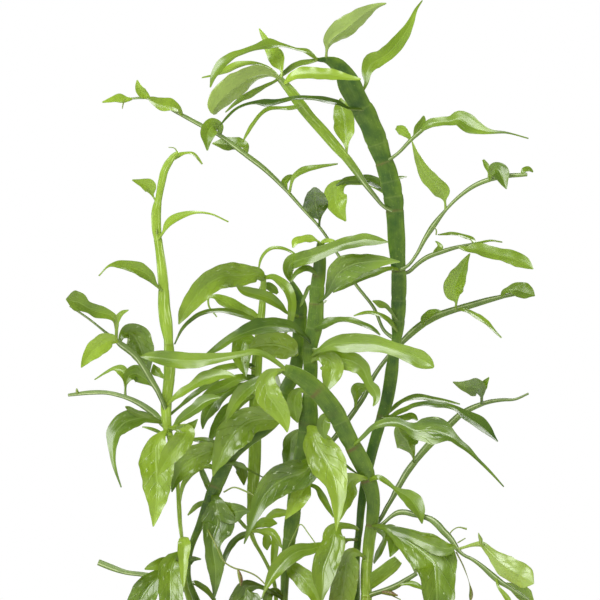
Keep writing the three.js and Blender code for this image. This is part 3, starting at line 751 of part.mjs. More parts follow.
function toSolid(geometry) {
  const bare = geometry.clone();
  bare.deleteAttribute("normal");
  bare.deleteAttribute("uv");
  const merged = mergeVertices(bare, weldDistance);
  const vertProperties = new Float32Array(merged.attributes.position.array);
  const triVerts = new Uint32Array(merged.index.array);
  return new wasm.Manifold(new wasm.Mesh({ numProp: 3, vertProperties, triVerts }));
}

function fromSolid(solid) {
  const mesh = solid.getMesh();
  const geometry = new THREE.BufferGeometry();
  const positions = new Float32Array(mesh.vertProperties);
  geometry.setAttribute("position", new THREE.BufferAttribute(positions, 3));
  geometry.setIndex(new THREE.BufferAttribute(new Uint32Array(mesh.triVerts), 1));
  geometry.computeVertexNormals();
  return geometry;
}

// A value read off a short list whose entries are spread evenly from 0 to 1.
function spreadOver(list, s) {
  const at = s * (list.length - 1);
  const below = Math.min(Math.floor(at), Math.max(list.length - 2, 0));
  const above = Math.min(below + 1, list.length - 1);
  return THREE.MathUtils.lerp(list[below], list[above], at - below);
}

// How far a row lies off the straight run between two others, its width counted with its place.
function offStraight(row, first, last) {
  const run = new THREE.Line3(first.point, last.point);
  const share = run.closestPointToPointParameter(row.point, true);
  const off = row.point.distanceTo(run.at(share, new THREE.Vector3()));
  const offWidth = (row.width - THREE.MathUtils.lerp(first.width, last.width, share)) / 2;
  return Math.hypot(off, offWidth);
}

// The rows that shape an outline: those closer than slack to a straight run are left out.
function shapingRows(rows, slack) {
  const first = rows[0];
  const last = rows[rows.length - 1];
  const off = rows.map((row) => offStraight(row, first, last));
  const worst = Math.max(...off);
  if (worst < slack) {
    return [first, last];
  }
  const at = off.indexOf(worst);
  return [...shapingRows(rows.slice(0, at + 1), slack), ...shapingRows(rows.slice(at), slack).slice(1)];
}

function leafSolid(line, { from, points, depths, turn }) {
  const last = points.length - 1;
  const root = { point: place(...onLine(line, from)), width: stalkWidth, s: 0 };
  const rows = points.map(([x, z, width], i) => {
    const s = i / last;
    const depth = spreadOver(depths, s);
    return { point: place(x, z, depth), width: width * spreadAt(depth), s };
  });
  const shaping = shapingRows([root, ...rows], leafSlack);
  const turns = Array.isArray(turn) ? turn : [turn, turn];
  const frames = framesAlong(shaping.map(({ point }) => point), turns[0], turns[1]);
  const widest = Math.max(...rows.map(({ width }) => width));
  const rise = Math.tan(THREE.MathUtils.degToRad(foldAngle));
  const sections = frames.map((frame, i) => {
    const { width, s } = shaping[i];
    const isStalk = i === 0;
    const rolled = THREE.MathUtils.degToRad(spreadOver(turns, s));
    const cosine = isStalk ? 1 : Math.max(Math.abs(Math.cos(rolled)), leastCosine);
    const half = width / 2 / cosine;
    const wave = edgeWave * half * Math.sin(wavesPerPoint * last * 2 * Math.PI * s);
    const fold = isStalk ? 0 : half * rise;
    const thickness = i < 2 ? stalkThickness : bladeThickness;
    const columns = [
      { where: -half, lift: fold + wave, thickness },
      { where: 0, lift: 0, thickness },
      { where: half, lift: fold - wave, thickness },
    ];
    return section(frame, widest > plainBlade ? columns : [columns[0], columns[2]]);
  });
  return toSolid(loft(sections));
}

function ribbonSolid(line, thickness) {
  const rows = line.map(([x, z, depth, width]) => ({ point: place(x, z, depth), z, width }));
  const shaping = shapingRows(rows, ribbonSlack);
  const frames = framesAlong(shaping.map(({ point }) => point), 0, 0);
  const inSoil = line[0][1] === stemFoot;
  const isPlain = !inSoil && Math.max(...rows.map(({ width }) => width)) < plainRibbon;
  const sections = frames.map((frame, i) => {
    const { z, width } = shaping[i];
    const flat = THREE.MathUtils.smoothstep(z, footTop, flatFrom);
    const foot = Math.min(footThickness, width);
    const middle = inSoil ? THREE.MathUtils.lerp(foot, thickness, flat) : thickness;
    const edge = middle * ribbonEdge;
    if (isPlain) {
      return section(frame, [
        { where: -width / 2, lift: 0, thickness: middle },
        { where: width / 2, lift: 0, thickness: middle },
      ]);
    }
    return section(frame, [
      { where: -width / 2, lift: 0, thickness: edge },
      { where: 0, lift: 0, thickness: middle },
      { where: width / 2, lift: 0, thickness: edge },
    ]);
  });
  return toSolid(loft(sections));
}

function stemSolid(stem) {
  const pieces = [ribbonSolid(stem.line, ribbonThickness)];
  for (const each of stem.leaves) {
    pieces.push(leafSolid(stem.line, each));
  }
  for (const side of stem.branches) {
    pieces.push(ribbonSolid(side.line, branchThickness));
    for (const each of side.leaves) {
      pieces.push(leafSolid(side.line, each));
    }
  }
  return wasm.Manifold.union(pieces);
}

// Radius of the pot's inner wall at a height.
function innerRadius(z) {
  const foot = footRadius - wallThickness;
  const top = rimRadius - wallThickness - rimBandStep / 2;
  return THREE.MathUtils.mapLinear(z, floorThickness, potHeight, foot, top);
}

function potGeometry() {
  const bandFoot = potHeight - rimBandHeight;
  const profile = [
    [0, 0],
    [footRadius - edgeRound, 0],
    [footRadius, edgeRound],
    [rimRadius - rimBandStep * 2, bandFoot],
    [rimRadius - rimBandStep + edgeRound, bandFoot],
    [rimRadius - rimBandStep + edgeRound * 2, bandFoot + edgeRound],
    [rimRadius, potHeight - edgeRound],
    [rimRadius - edgeRound, potHeight],
    [innerRadius(potHeight) + edgeRound, potHeight],
    [innerRadius(potHeight), potHeight - edgeRound],
    [innerRadius(floorThickness), floorThickness],
    [0, floorThickness],
  ];
  const lathe = new THREE.LatheGeometry(profile.map(([r, z]) => new THREE.Vector2(r, z)), potSides);
  lathe.rotateX(Math.PI / 2);
  let solid = toSolid(lathe);
  for (let i = 0; i < drainHoleCount; i += 1) {
    const angle = (i / drainHoleCount) * Math.PI * 2;
    const depth = floorThickness * 3;
    const hole = new THREE.CylinderGeometry(drainHoleRadius, drainHoleRadius, depth, holeSides);
    hole.rotateX(Math.PI / 2);
    hole.translate(drainHoleCircle * Math.cos(angle), drainHoleCircle * Math.sin(angle), 0);
    solid = solid.subtract(toSolid(hole));
  }
  return fromSolid(solid);
}

// The soil's top is lumpy: the sum of a few fixed ripples.
function lump(x, y) {
  let sum = 0;
  for (const ripple of soilRipples) {
    sum += ripple.height * Math.sin(ripple.x * x + ripple.y * y + ripple.phase);
  }
  return soilLump * sum;
}

function soilGeometry() {
  const bottom = floorThickness + clearance;
  const edge = (z) => innerRadius(z) - clearance;
  const top = [];
  for (let ring = soilRings - 1; ring >= 0; ring -= 1) {
    top.push([(edge(soilLevel) * ring) / (soilRings - 1), soilLevel]);
  }
  const profile = [[0, bottom], [edge(bottom), bottom], ...top];
  const lathe = new THREE.LatheGeometry(profile.map(([r, z]) => new THREE.Vector2(r, z)), soilSides);
  lathe.rotateX(Math.PI / 2);
  const position = lathe.attributes.position;
  for (let i = 0; i < position.count; i += 1) {
    const x = position.getX(i);
    const y = position.getY(i);
    if (position.getZ(i) > bottom + clearance) {
      const rim = edge(soilLevel);
      const fade = 1 - THREE.MathUtils.smoothstep(Math.hypot(x, y), rim * levelFrom, rim);
      position.setZ(i, soilLevel + lump(x, y) * fade);
    }
  }
  let solid = toSolid(lathe);
  for (const { line } of stems) {
    const foot = place(...line[0].slice(0, 3));
    const depth = potHeight - foot.z + clearance;
    const hole = new THREE.CylinderGeometry(stemHoleRadius, stemHoleRadius, depth, holeSides);
    hole.rotateX(Math.PI / 2);
    hole.translate(foot.x, foot.y, foot.z - clearance + depth / 2);
    solid = solid.subtract(toSolid(hole));
  }
  return fromSolid(solid);
}

function named(name, geometry, color, roughness) {
  const material = new THREE.MeshStandardMaterial({ color, roughness, metalness: 0 });
  const mesh = new THREE.Mesh(geometry, material);
  mesh.name = name;
  return mesh;
}

const plant = new THREE.Group();
plant.add(named("pot", potGeometry(), 0xb5653f, 0.85));
plant.add(named("soil", soilGeometry(), 0x33261c, 0.95));
for (const stem of stems) {
  plant.add(named(stem.name, fromSolid(stemSolid(stem)), stem.color, 0.45));
}

export default plant;
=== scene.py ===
import math
import random

import bmesh
import bpy
import numpy as np
from mathutils import Matrix, Vector, noise


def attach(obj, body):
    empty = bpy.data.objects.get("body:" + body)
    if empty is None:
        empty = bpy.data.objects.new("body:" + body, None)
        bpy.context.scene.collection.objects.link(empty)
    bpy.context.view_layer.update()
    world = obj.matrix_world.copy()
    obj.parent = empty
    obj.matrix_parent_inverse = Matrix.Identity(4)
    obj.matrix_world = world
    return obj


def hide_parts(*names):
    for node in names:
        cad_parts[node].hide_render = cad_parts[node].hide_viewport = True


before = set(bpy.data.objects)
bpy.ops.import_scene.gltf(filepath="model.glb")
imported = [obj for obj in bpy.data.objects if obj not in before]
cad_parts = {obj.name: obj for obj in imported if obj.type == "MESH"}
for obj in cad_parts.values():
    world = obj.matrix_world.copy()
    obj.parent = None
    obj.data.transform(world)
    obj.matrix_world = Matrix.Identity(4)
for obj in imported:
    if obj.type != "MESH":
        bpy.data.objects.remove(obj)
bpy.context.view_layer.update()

bl_info = {
    "name": "Potted ribbon plant",
    "version": (1, 0, 0),
    "blender": (4, 5, 0),
    "location": "3D View > Sidebar > Ribbon plant",
    "description": "Flat jointed stems with arrow-shaped leaves, rooted in soil in a clay pot",
    "category": "Object",
}

BODY = "root"
MM = 0.001

# Pot and soil, in millimetres
POT_HEIGHT = 130
FOOT_RADIUS = 57
RIM_RADIUS = 85
RIM_BAND_HEIGHT = 28
RIM_BAND_STEP = 4
WALL = 6
POT_FLOOR = 8
DRAIN_HOLE_RADIUS = 5
DRAIN_HOLE_CIRCLE = 30
DRAIN_HOLES = 3
POT_SIDES = 96
SOIL_LEVEL = 115
SOIL_GAP = 0.3
SOIL_LUMP = 1.8
SOIL_GRAIN = 1.5
SOIL_RIPPLES = [(0.24, 0.11, 1.3, 1), (-0.13, 0.22, 0.4, 0.9), (0.47, -0.39, 0, 0.6), (0.33, 0.58, 2, 0.5)]
SOIL_RINGS = 36
SOIL_SIDES = 90
STEM_HOLE_RADIUS = 3.6
CRUMBS = 560
CRUMB_CLEARANCE = 5.2

# Blades, with lengths in millimetres
BLADE_COLUMNS = 14
BLADE_ROWS = 44
SIDE_VEINS = 7
VEIN_SLANT = 0.2
DEEPEST_HALF = 8
FULL_HALF = 9
FULL_LENGTH = 70
LEAST_WIDTH = 0.3
LEAST_COSINE = 0.35
TONE_SPREAD = 0.14

# A blade's waves, crinkles and notches: how many along it, and how deep as shares of its half width
FOLD_CURVE = 1.3
WAVE_CURVE = 1.8
EDGE_WAVES = (1.6, 2.8)
CRINKLES_IN_WAVE = 3.1
CRINKLE = 0.03
YOUNG_CRINKLE = 0.09
YOUNG_TONE = 0.85
COARSE_NOTCHES = 3.3
COARSE_NOTCH = 0.03
FINE_NOTCHES = 8.7
FINE_NOTCH = 0.02

# How much a blade thins to its edge and its tip, and the height of its rib at the foot and the tip
THIN_EDGE = 0.45
THIN_TIP = 0.5
THIN_TIP_FROM = 0.85
RIB_HALF = 0.7
RIB_HEIGHTS = (0.75, 0.15)

# Ribbons and stalks, with lengths in millimetres
RIBBON_COLUMNS = 20
RIBBON_STEP = 2.4
LEAST_STEP = 0.2
RIBBON_THICKNESS = 2.2
BRANCH_THICKNESS = 1.5
FOOT_THICKNESS = 5.6
STEM_FOOT = 86
FOOT_TOP = 150
FLAT_FROM = 215
FOOT_SHADE = (150, 215)
TWIG_WIDTHS = (4, 6)
BROAD_LIGHTER = 0.08
STALK_WIDTH = 1.9
STALK_THICKNESS = 1.5
STALK_SIDES = 8
STALK_STEP = 1.2
STALK_FLATNESS = 0.8
STALK_TONE = 0.55
STALK_BARK = 0.5

# Where a line runs towards the front, its ribbon or blade can't face it.
LEAST_FACING = 0.15
FULL_FACING = 0.45

# A ribbon's joints with the waist after each, its scars and the ridge along its middle
JOINT_APART = 9
JOINT_STEPS = (-1.6, -0.9, -0.45, 0, 0.45, 0.9, 1.6)
RING_HALF = 0.55
RING_WIDER = 0.03
RING_THICKER = 0.16
WAIST_AFTER = 1.6
WAIST_HALF = 2.2
WAIST_NARROWER = 0.07
SCAR_HALF = 0.8
RIDGE_HEIGHT = 0.22
RIDGE_SHARE = 0.13
FULLER_SIDES = 0.25

# The stems and leaves are placed as they line up from the front, for an eye this far away.
EYE_X = 6.5
EYE_Y = -2500.0
EYE_Z = 345.8


def leaf(start, points, depths, turn=0, tone=None):
    """One leaf: start is x, z on its stem, points are x, z and the width seen there, out to the tip.

    depths is spread evenly over the points, turn rolls the blade in degrees, with 0 full face to the
    front, and tone runs from 0, old and dark, to 1, young and bright."""
    return {"start": start, "points": points, "depths": depths, "turn": turn, "tone": tone}


def branch(line, leaves=()):
    """One side branch: a line of x, z, depth, width, whose first point lies on the stem."""
    return {"line": line, "leaves": leaves, "branches": ()}


# Each stem's line holds x, z, depth and width, from the foot in the soil to the tip.
TALL_STEM = {
    "name": "stem_tall",
    "line": [
        [41, 86, 12, 6], [41, 118, 12, 6], [42, 134, 13, 5.6], [43, 150, 14, 5.2], [43.2, 178, 14, 4.8],
        [43.8, 187, 14, 4.8], [45.2, 198, 14, 4.8], [46, 208, 14, 5.2], [47.4, 219, 14.5, 5.8],
        [49.2, 229, 15, 6.4], [51.5, 240, 16, 7], [54, 250, 16, 7.2], [57, 260.5, 16, 7.4],
        [59.9, 270, 16, 7.6], [62.9, 280, 15, 8.4], [64.8, 290, 14, 8.6], [66.2, 300, 13, 8.6],
        [67.5, 310, 12, 7.2], [69.6, 322, 11, 7], [70.2, 330, 10, 8.6], [70.6, 345, 8.8, 10],
        [70.8, 360, 7.5, 10], [70.2, 370, 6.5, 9.8], [69.3, 384, 5.4, 11.5], [68.4, 400, 4, 11.6],
        [67.5, 410, 3, 13], [65.7, 420, 1.7, 13.4], [63.1, 430, 0, 12.7], [59.5, 440, -1.5, 12.2],
        [56, 450, -4, 14.6], [52, 460, -6, 13.6], [49.2, 466, -7, 14.8], [43.5, 476, -9, 14],
        [38.5, 486, -11, 15], [34.5, 494, -13, 11.5], [30, 499, -15, 9.5], [24, 501.7, -17, 5],
        [18, 502, -19, 2.5],
    ],
    "leaves": [
        leaf([23.4, 501.5], [[24.2, 510, 2.6], [25.5, 514, 8], [29, 518, 11.5], [35, 522, 13],
            [42, 527.5, 11], [49.5, 533.2, 8], [56.5, 537, 3.5], [62.5, 538.6, 0.8]],
            [-18, -22, -30, -40], 150, 0.45),
        leaf([18, 502], [[12, 506.8, 3.5], [4, 509, 1.8], [-6, 511.5, 3.2], [-13, 512, 6.4],
            [-22, 509.8, 4], [-31, 506.8, 4.4], [-38, 503.8, 6], [-44, 499, 6], [-49, 492, 4],
            [-51.8, 484, 1]], [-20, -26, -30], -50, 0.45),
        leaf([18, 502], [[10, 500, 3.5], [3, 498, 4.5], [-3, 494, 3], [-9, 488.3, 1.6], [-17, 484, 3],
            [-24, 480.4, 4.6], [-32, 475.8, 3.2], [-42, 467.8, 0.8]], [-16, -12, -6, 2], -55),
        leaf([49, 479], [[49.6, 487, 2.8], [50, 494, 7], [53, 499.5, 11.5], [60, 503.5, 10],
            [67.5, 510, 9.5], [74, 518.3, 8], [78.6, 526.5, 4.4], [82, 534.5, 2], [86, 540.5, 0.8]],
            [-4, 2, 14, 30], 15, 0.55),
        leaf([42, 467], [[38, 470.5, 1.6], [32, 473.8, 3.4], [24, 475.3, 3.8], [14, 476.7, 2.8],
            [4, 477, 3.4], [-6, 475.2, 3], [-16, 473.3, 4.6], [-24, 473.7, 2], [-34, 470.5, 2],
            [-41, 464.5, 1.6], [-45.5, 459, 0.8]], [-14, -28, -36, -42], -58, 0.12),
        leaf([63, 413], [[58, 420.5, 7], [51, 424, 6], [43, 424, 5.5], [36.5, 423, 4.5], [30, 420, 0.8]],
            [10, 14, 14], -40, 0.2),
        leaf([63.2, 412], [[45, 421.5, 2], [34, 421.5, 6], [29.8, 417, 13], [29.7, 411, 15], [32, 404, 10],
            [36.3, 397, 1]], [16, 18, 16], 0, 1.0),
        leaf([66, 423], [[70, 425, 2.2], [76, 426, 0.8]], [8, 16], 30),
        leaf([70.5, 366], [[63, 366, 3], [55, 363.5, 4.5], [47, 360.3, 5], [39, 357, 4.5], [32, 353.3, 3],
            [28, 350.7, 0.8]], [-2, 0, 4], -45),
        leaf([69.5, 326], [[64, 332.5, 3], [58.5, 336, 2.8], [52, 337.7, 2], [46, 336.8, 1.6],
            [41.5, 335.5, 0.8]], [4, 2, 0], -50),
        leaf([69.5, 332], [[66, 337.5, 2], [62.5, 341.7, 3], [58, 343.3, 4.5], [53.7, 345.2, 0.8]],
            [4, -4], -30),
        leaf([60, 270], [[64.5, 269.8, 2], [70, 272.5, 2.6], [75.5, 275, 3], [81, 277.3, 3.2],
            [88, 278.3, 3], [95, 277.6, 3.4], [102, 277, 3], [108.5, 275, 3.6], [113, 271.5, 6.5],
            [118.3, 268.3, 8], [123.3, 265, 7.8], [128, 261, 5.6], [132, 256.9, 2.6], [135, 253.8, 0.8]],
            [14, 0, -8, -14, -20], 50, 0.2),
        leaf([60, 270], [[64.5, 273, 1.6], [69, 277, 2.6], [74, 280.3, 2.4], [80, 282.3, 3.4],
            [86, 282.8, 3.6], [92.5, 281.6, 3], [100, 280.3, 2.2], [110.5, 278, 0.8]], [18, 24, 32], 50),
        leaf([59, 266], [[64, 267.5, 2.6], [70, 268.6, 3.4], [76, 269.5, 4.4], [80, 269.6, 4.2],
            [82.8, 267.6, 1]], [14, 6], 40),
        leaf([45.3, 196], [[41.5, 198.2, 3], [37, 199, 4], [32, 198.7, 5.5], [28.7, 194.5, 13],
            [28.3, 189, 15.4], [26.6, 183, 16.6], [24.4, 177.5, 17], [22.2, 171.5, 16.5],
            [21.4, 165.5, 14.5], [21.2, 159, 9.5], [20.6, 152, 3], [20.3, 147, 0.8]],
            [8, -6, -14, -22], 0, 0.6),
        leaf([44.5, 190], [[38, 190, 2], [30, 189, 3], [23, 186.8, 3.4], [18, 185.3, 5.4],
            [13.5, 183.9, 7.5], [6.5, 183, 9.4], [0.5, 179.8, 10.6], [-5, 174.5, 9.8], [-9.6, 169, 8.6],
            [-13.7, 162.3, 4.6], [-16.5, 156.5, 1.6], [-18.5, 151.5, 0.8]], [4, -2, -10, -14], -25, 0.5),
        leaf([70.5, 345], [[71, 350, 2.5], [71, 352, 3.6], [70, 350, 4], [70.5, 344, 2.5], [71, 335, 0.8]],
            [24, 52, 78], 85),
        leaf([68, 404], [[67.5, 408, 2.2], [67, 411, 3.2], [66, 410, 4], [66, 404, 2.5], [66, 396, 0.8]],
            [20, 48, 74], 85),
        leaf([56, 447], [[55, 451, 2.2], [54, 455, 3.6], [52, 456, 3.6], [51, 451, 2.5], [52, 444, 0.8]],
            [14, 40, 66], 85),
    ],
    "branches": [
        branch([
            [62, 435.5, 0, 3], [66, 438, -2, 2.4], [70, 441, -4, 2.2], [78.5, 449.8, -10, 2.6],
            [86, 456.5, -15, 3],
        ], [
            leaf([85.5, 456], [[90, 460, 5.5], [97, 461.7, 6], [104, 462.2, 6.5], [110, 463.8, 10.5],
                [116, 460, 11.5], [122, 457.2, 8], [130, 455.2, 3.6], [140, 454.6, 1.4], [155, 450.8, 0.8]],
                [-18, -28, -36, -42], 20),
            leaf([78.5, 450], [[76.5, 453, 4], [73, 456, 6.5], [69, 458, 2.5]], [-4, 4], 10),
            leaf([81, 452], [[83, 457, 5], [86, 461.5, 4.5], [87, 465.5, 1]], [-8, 0], 0),
        ]),
        branch([
            [69, 320, 11, 3], [62, 325, 16, 2.4], [54.6, 340.5, 20, 2.2], [42, 357, 22, 2.2],
            [32, 374, 23, 2], [19.5, 392.8, 24, 2], [8, 405.5, 26, 2.2], [-3, 417.8, 28, 2.6],
            [-16, 430.5, 30, 3.4], [-29, 440.5, 32, 3.6], [-46, 453, 35.5, 3], [-58, 459.5, 38, 3],
            [-72, 467, 40, 2.6], [-92, 477, 43, 2], [-106, 476.5, 45, 1.2],
        ], [
            leaf([-103, 477], [[-106, 476.3, 3.5], [-110, 476.6, 6], [-115, 476, 4.2], [-122, 474.3, 0.8]],
                [43, 38], -30, 0.95),
            leaf([-91, 476.5], [[-93.5, 478.5, 4.5], [-96.5, 481, 6.5], [-98.5, 484.5, 4.5],
                [-99.3, 488.8, 0.8]], [41, 36], 0, 0.95),
            leaf([-70, 466.5], [[-72.5, 470, 4], [-77, 472, 8], [-83, 472.8, 8.6], [-88.5, 474.8, 5.5],
                [-93, 477.3, 1]], [36, 24], -40, 0.8),
            leaf([-45, 453.5], [[-45.8, 458.5, 5.5], [-50, 459, 10.5], [-53.3, 454, 10.5], [-53.8, 448, 5],
                [-53.7, 443, 1]], [32, 24, 18], 0, 0.45),
            leaf([-27, 442], [[-29.5, 446, 5], [-35, 447, 9], [-42, 447.3, 8], [-50.5, 447.6, 0.8]],
                [36, 46], -30, 0.55),
            leaf([0, 415.5], [[0.6, 420, 1.6], [2, 425, 3], [5, 428, 3.5], [10, 430.5, 4.2], [17, 432, 3.2],
                [24, 433.2, 2], [31, 434.3, 0.8]], [25, 14, 4], 35),
            leaf([-2.5, 417], [[-3.5, 422.5, 4.5], [0.5, 426, 3], [4, 425.5, 0.8]], [31, 36], 0),
            leaf([19.3, 394], [[19.2, 398, 1.8], [17.5, 402.5, 10], [16.8, 407.5, 16], [16.5, 412, 15],
                [16, 416, 10], [15.5, 418.8, 3]], [20, 2, -14], 0, 0.08),
        ]),
        branch([
            [67.5, 403, 4, 3], [61, 406.5, 0, 2.4], [55, 413.5, -5, 3], [49, 421, -8, 3.6],
            [43.5, 429, -10.5, 5], [37.5, 437, -12.5, 5.6], [30, 445.5, -14.5, 6.6], [21, 456, -16.5, 7],
            [12.5, 465.5, -17.5, 6.8], [6, 474, -19, 7.4], [1, 481, -20, 6.4], [-6.5, 489.5, -21, 4.5],
        ], [
            leaf([-6, 490], [[-11, 492.2, 3], [-18, 493.3, 8], [-26, 491, 12], [-34, 486, 14.5],
                [-41, 480.5, 14], [-46.5, 475, 12], [-50, 469.5, 7.5], [-50.5, 466.8, 2]],
                [-24, -36, -44], -145, 0.7),
            leaf([-6.5, 490], [[-11, 495, 1.5], [-20, 499, 2], [-29, 499.3, 3], [-37, 497.3, 4.4],
                [-43, 494.6, 4.4], [-50, 491.8, 1.8], [-57.3, 490.2, 0.8]], [-19, -14, -8], -55, 0.75),
            leaf([-5.5, 489.5], [[-5.3, 494.5, 1.8], [-7, 499.5, 8], [-9, 504, 10.5], [-12.5, 509, 8],
                [-15.8, 515, 4.6], [-20, 522.3, 0.8]], [-20, -10], 20, 0.9),
            leaf([-3, 487], [[2, 491.5, 5.5], [8, 492.8, 8], [17, 492.8, 8], [27, 492.4, 7.4],
                [36, 490.5, 4.2], [42, 489.6, 3], [46, 489.3, 1]], [-25, -30, -32], 35, 0.9),
            leaf([6, 471], [[0, 470.5, 3], [-8, 470.6, 2], [-14, 469.6, 2.6], [-19, 466.3, 2.8],
                [-24, 460.3, 2.4], [-28, 453.3, 1.8], [-31, 448, 0.8]], [-15, -8, -2], -55, 0.6),
            leaf([37, 438.5], [[36.8, 444.5, 2], [36.4, 449.5, 6], [36, 454.5, 12], [35.6, 460, 13.5],
                [34.8, 466, 13.5], [33.5, 471.5, 10], [33, 477, 1]], [-9, -4, 2], 15, 0.9),
        ]),
        branch([
            [70.5, 365, 7, 3], [76.5, 368, 5, 2.2], [82, 375, 2.5, 2.2], [88, 386, -2, 3],
            [92.5, 393, -6, 3.8], [101, 404, -12, 2.2], [110.5, 413.5, -18, 2.4], [120, 420.2, -22, 3],
            [136.5, 425.8, -30, 3.2], [154, 427.4, -38, 2.6],
        ], [
            leaf([101, 404.5], [[100.6, 410.5, 2], [99, 416, 10], [94.5, 421, 10.5], [88.8, 427, 9.2],
                [85, 434, 6.4], [81.8, 441.5, 3.2], [79.3, 449, 0.8]], [-14, -24, -36], 10, 0.7),
            leaf([129, 423.5], [[129.5, 429, 2.5], [127.8, 433, 3.5], [125.5, 437, 1.5]], [-24, -22], 0),
            leaf([130, 423.5], [[131, 428, 4], [133, 431, 8], [136, 430, 11], [138, 426, 9.5],
                [139.2, 422, 5.5], [140.7, 418, 0.8]], [-32, -39, -44], 0, 0.35),
            leaf([151, 427.3], [[152, 430, 3], [155, 431, 3.4], [158, 429, 0.8]], [-37, -34], 30),
        ]),
        branch([
            [70.5, 363, 7, 3], [77, 364, 11, 2.6], [82, 368.5, 13, 2.8], [88, 373, 15, 3.2],
            [98, 377, 17.5, 3.2], [108, 380, 20, 2.6], [120, 382.3, 22, 2],
        ], [
            leaf([119.5, 382], [[118.5, 384.8, 2.6], [112.5, 387.5, 2.4], [105, 388.8, 2],
                [96, 388.2, 0.8]], [26, 38], -50),
            leaf([110, 380], [[114.5, 379, 3.5], [121, 379.3, 7.5], [129, 377, 8], [137, 374.8, 8],
                [144, 373.3, 10], [150, 370.8, 9.5], [154, 368.5, 6], [158, 366, 0.8]],
                [18, 12, 5], 30, 0.6),
            leaf([119.5, 382.2], [[130, 384.3, 1.2], [138, 383.5, 0.8]], [24, 28], 40),
            leaf([93, 375.2], [[95, 377.8, 3], [97.5, 380, 4], [96.5, 382.5, 2], [94.5, 384, 0.8]],
                [19, 24], 0),
        ]),
    ],
}

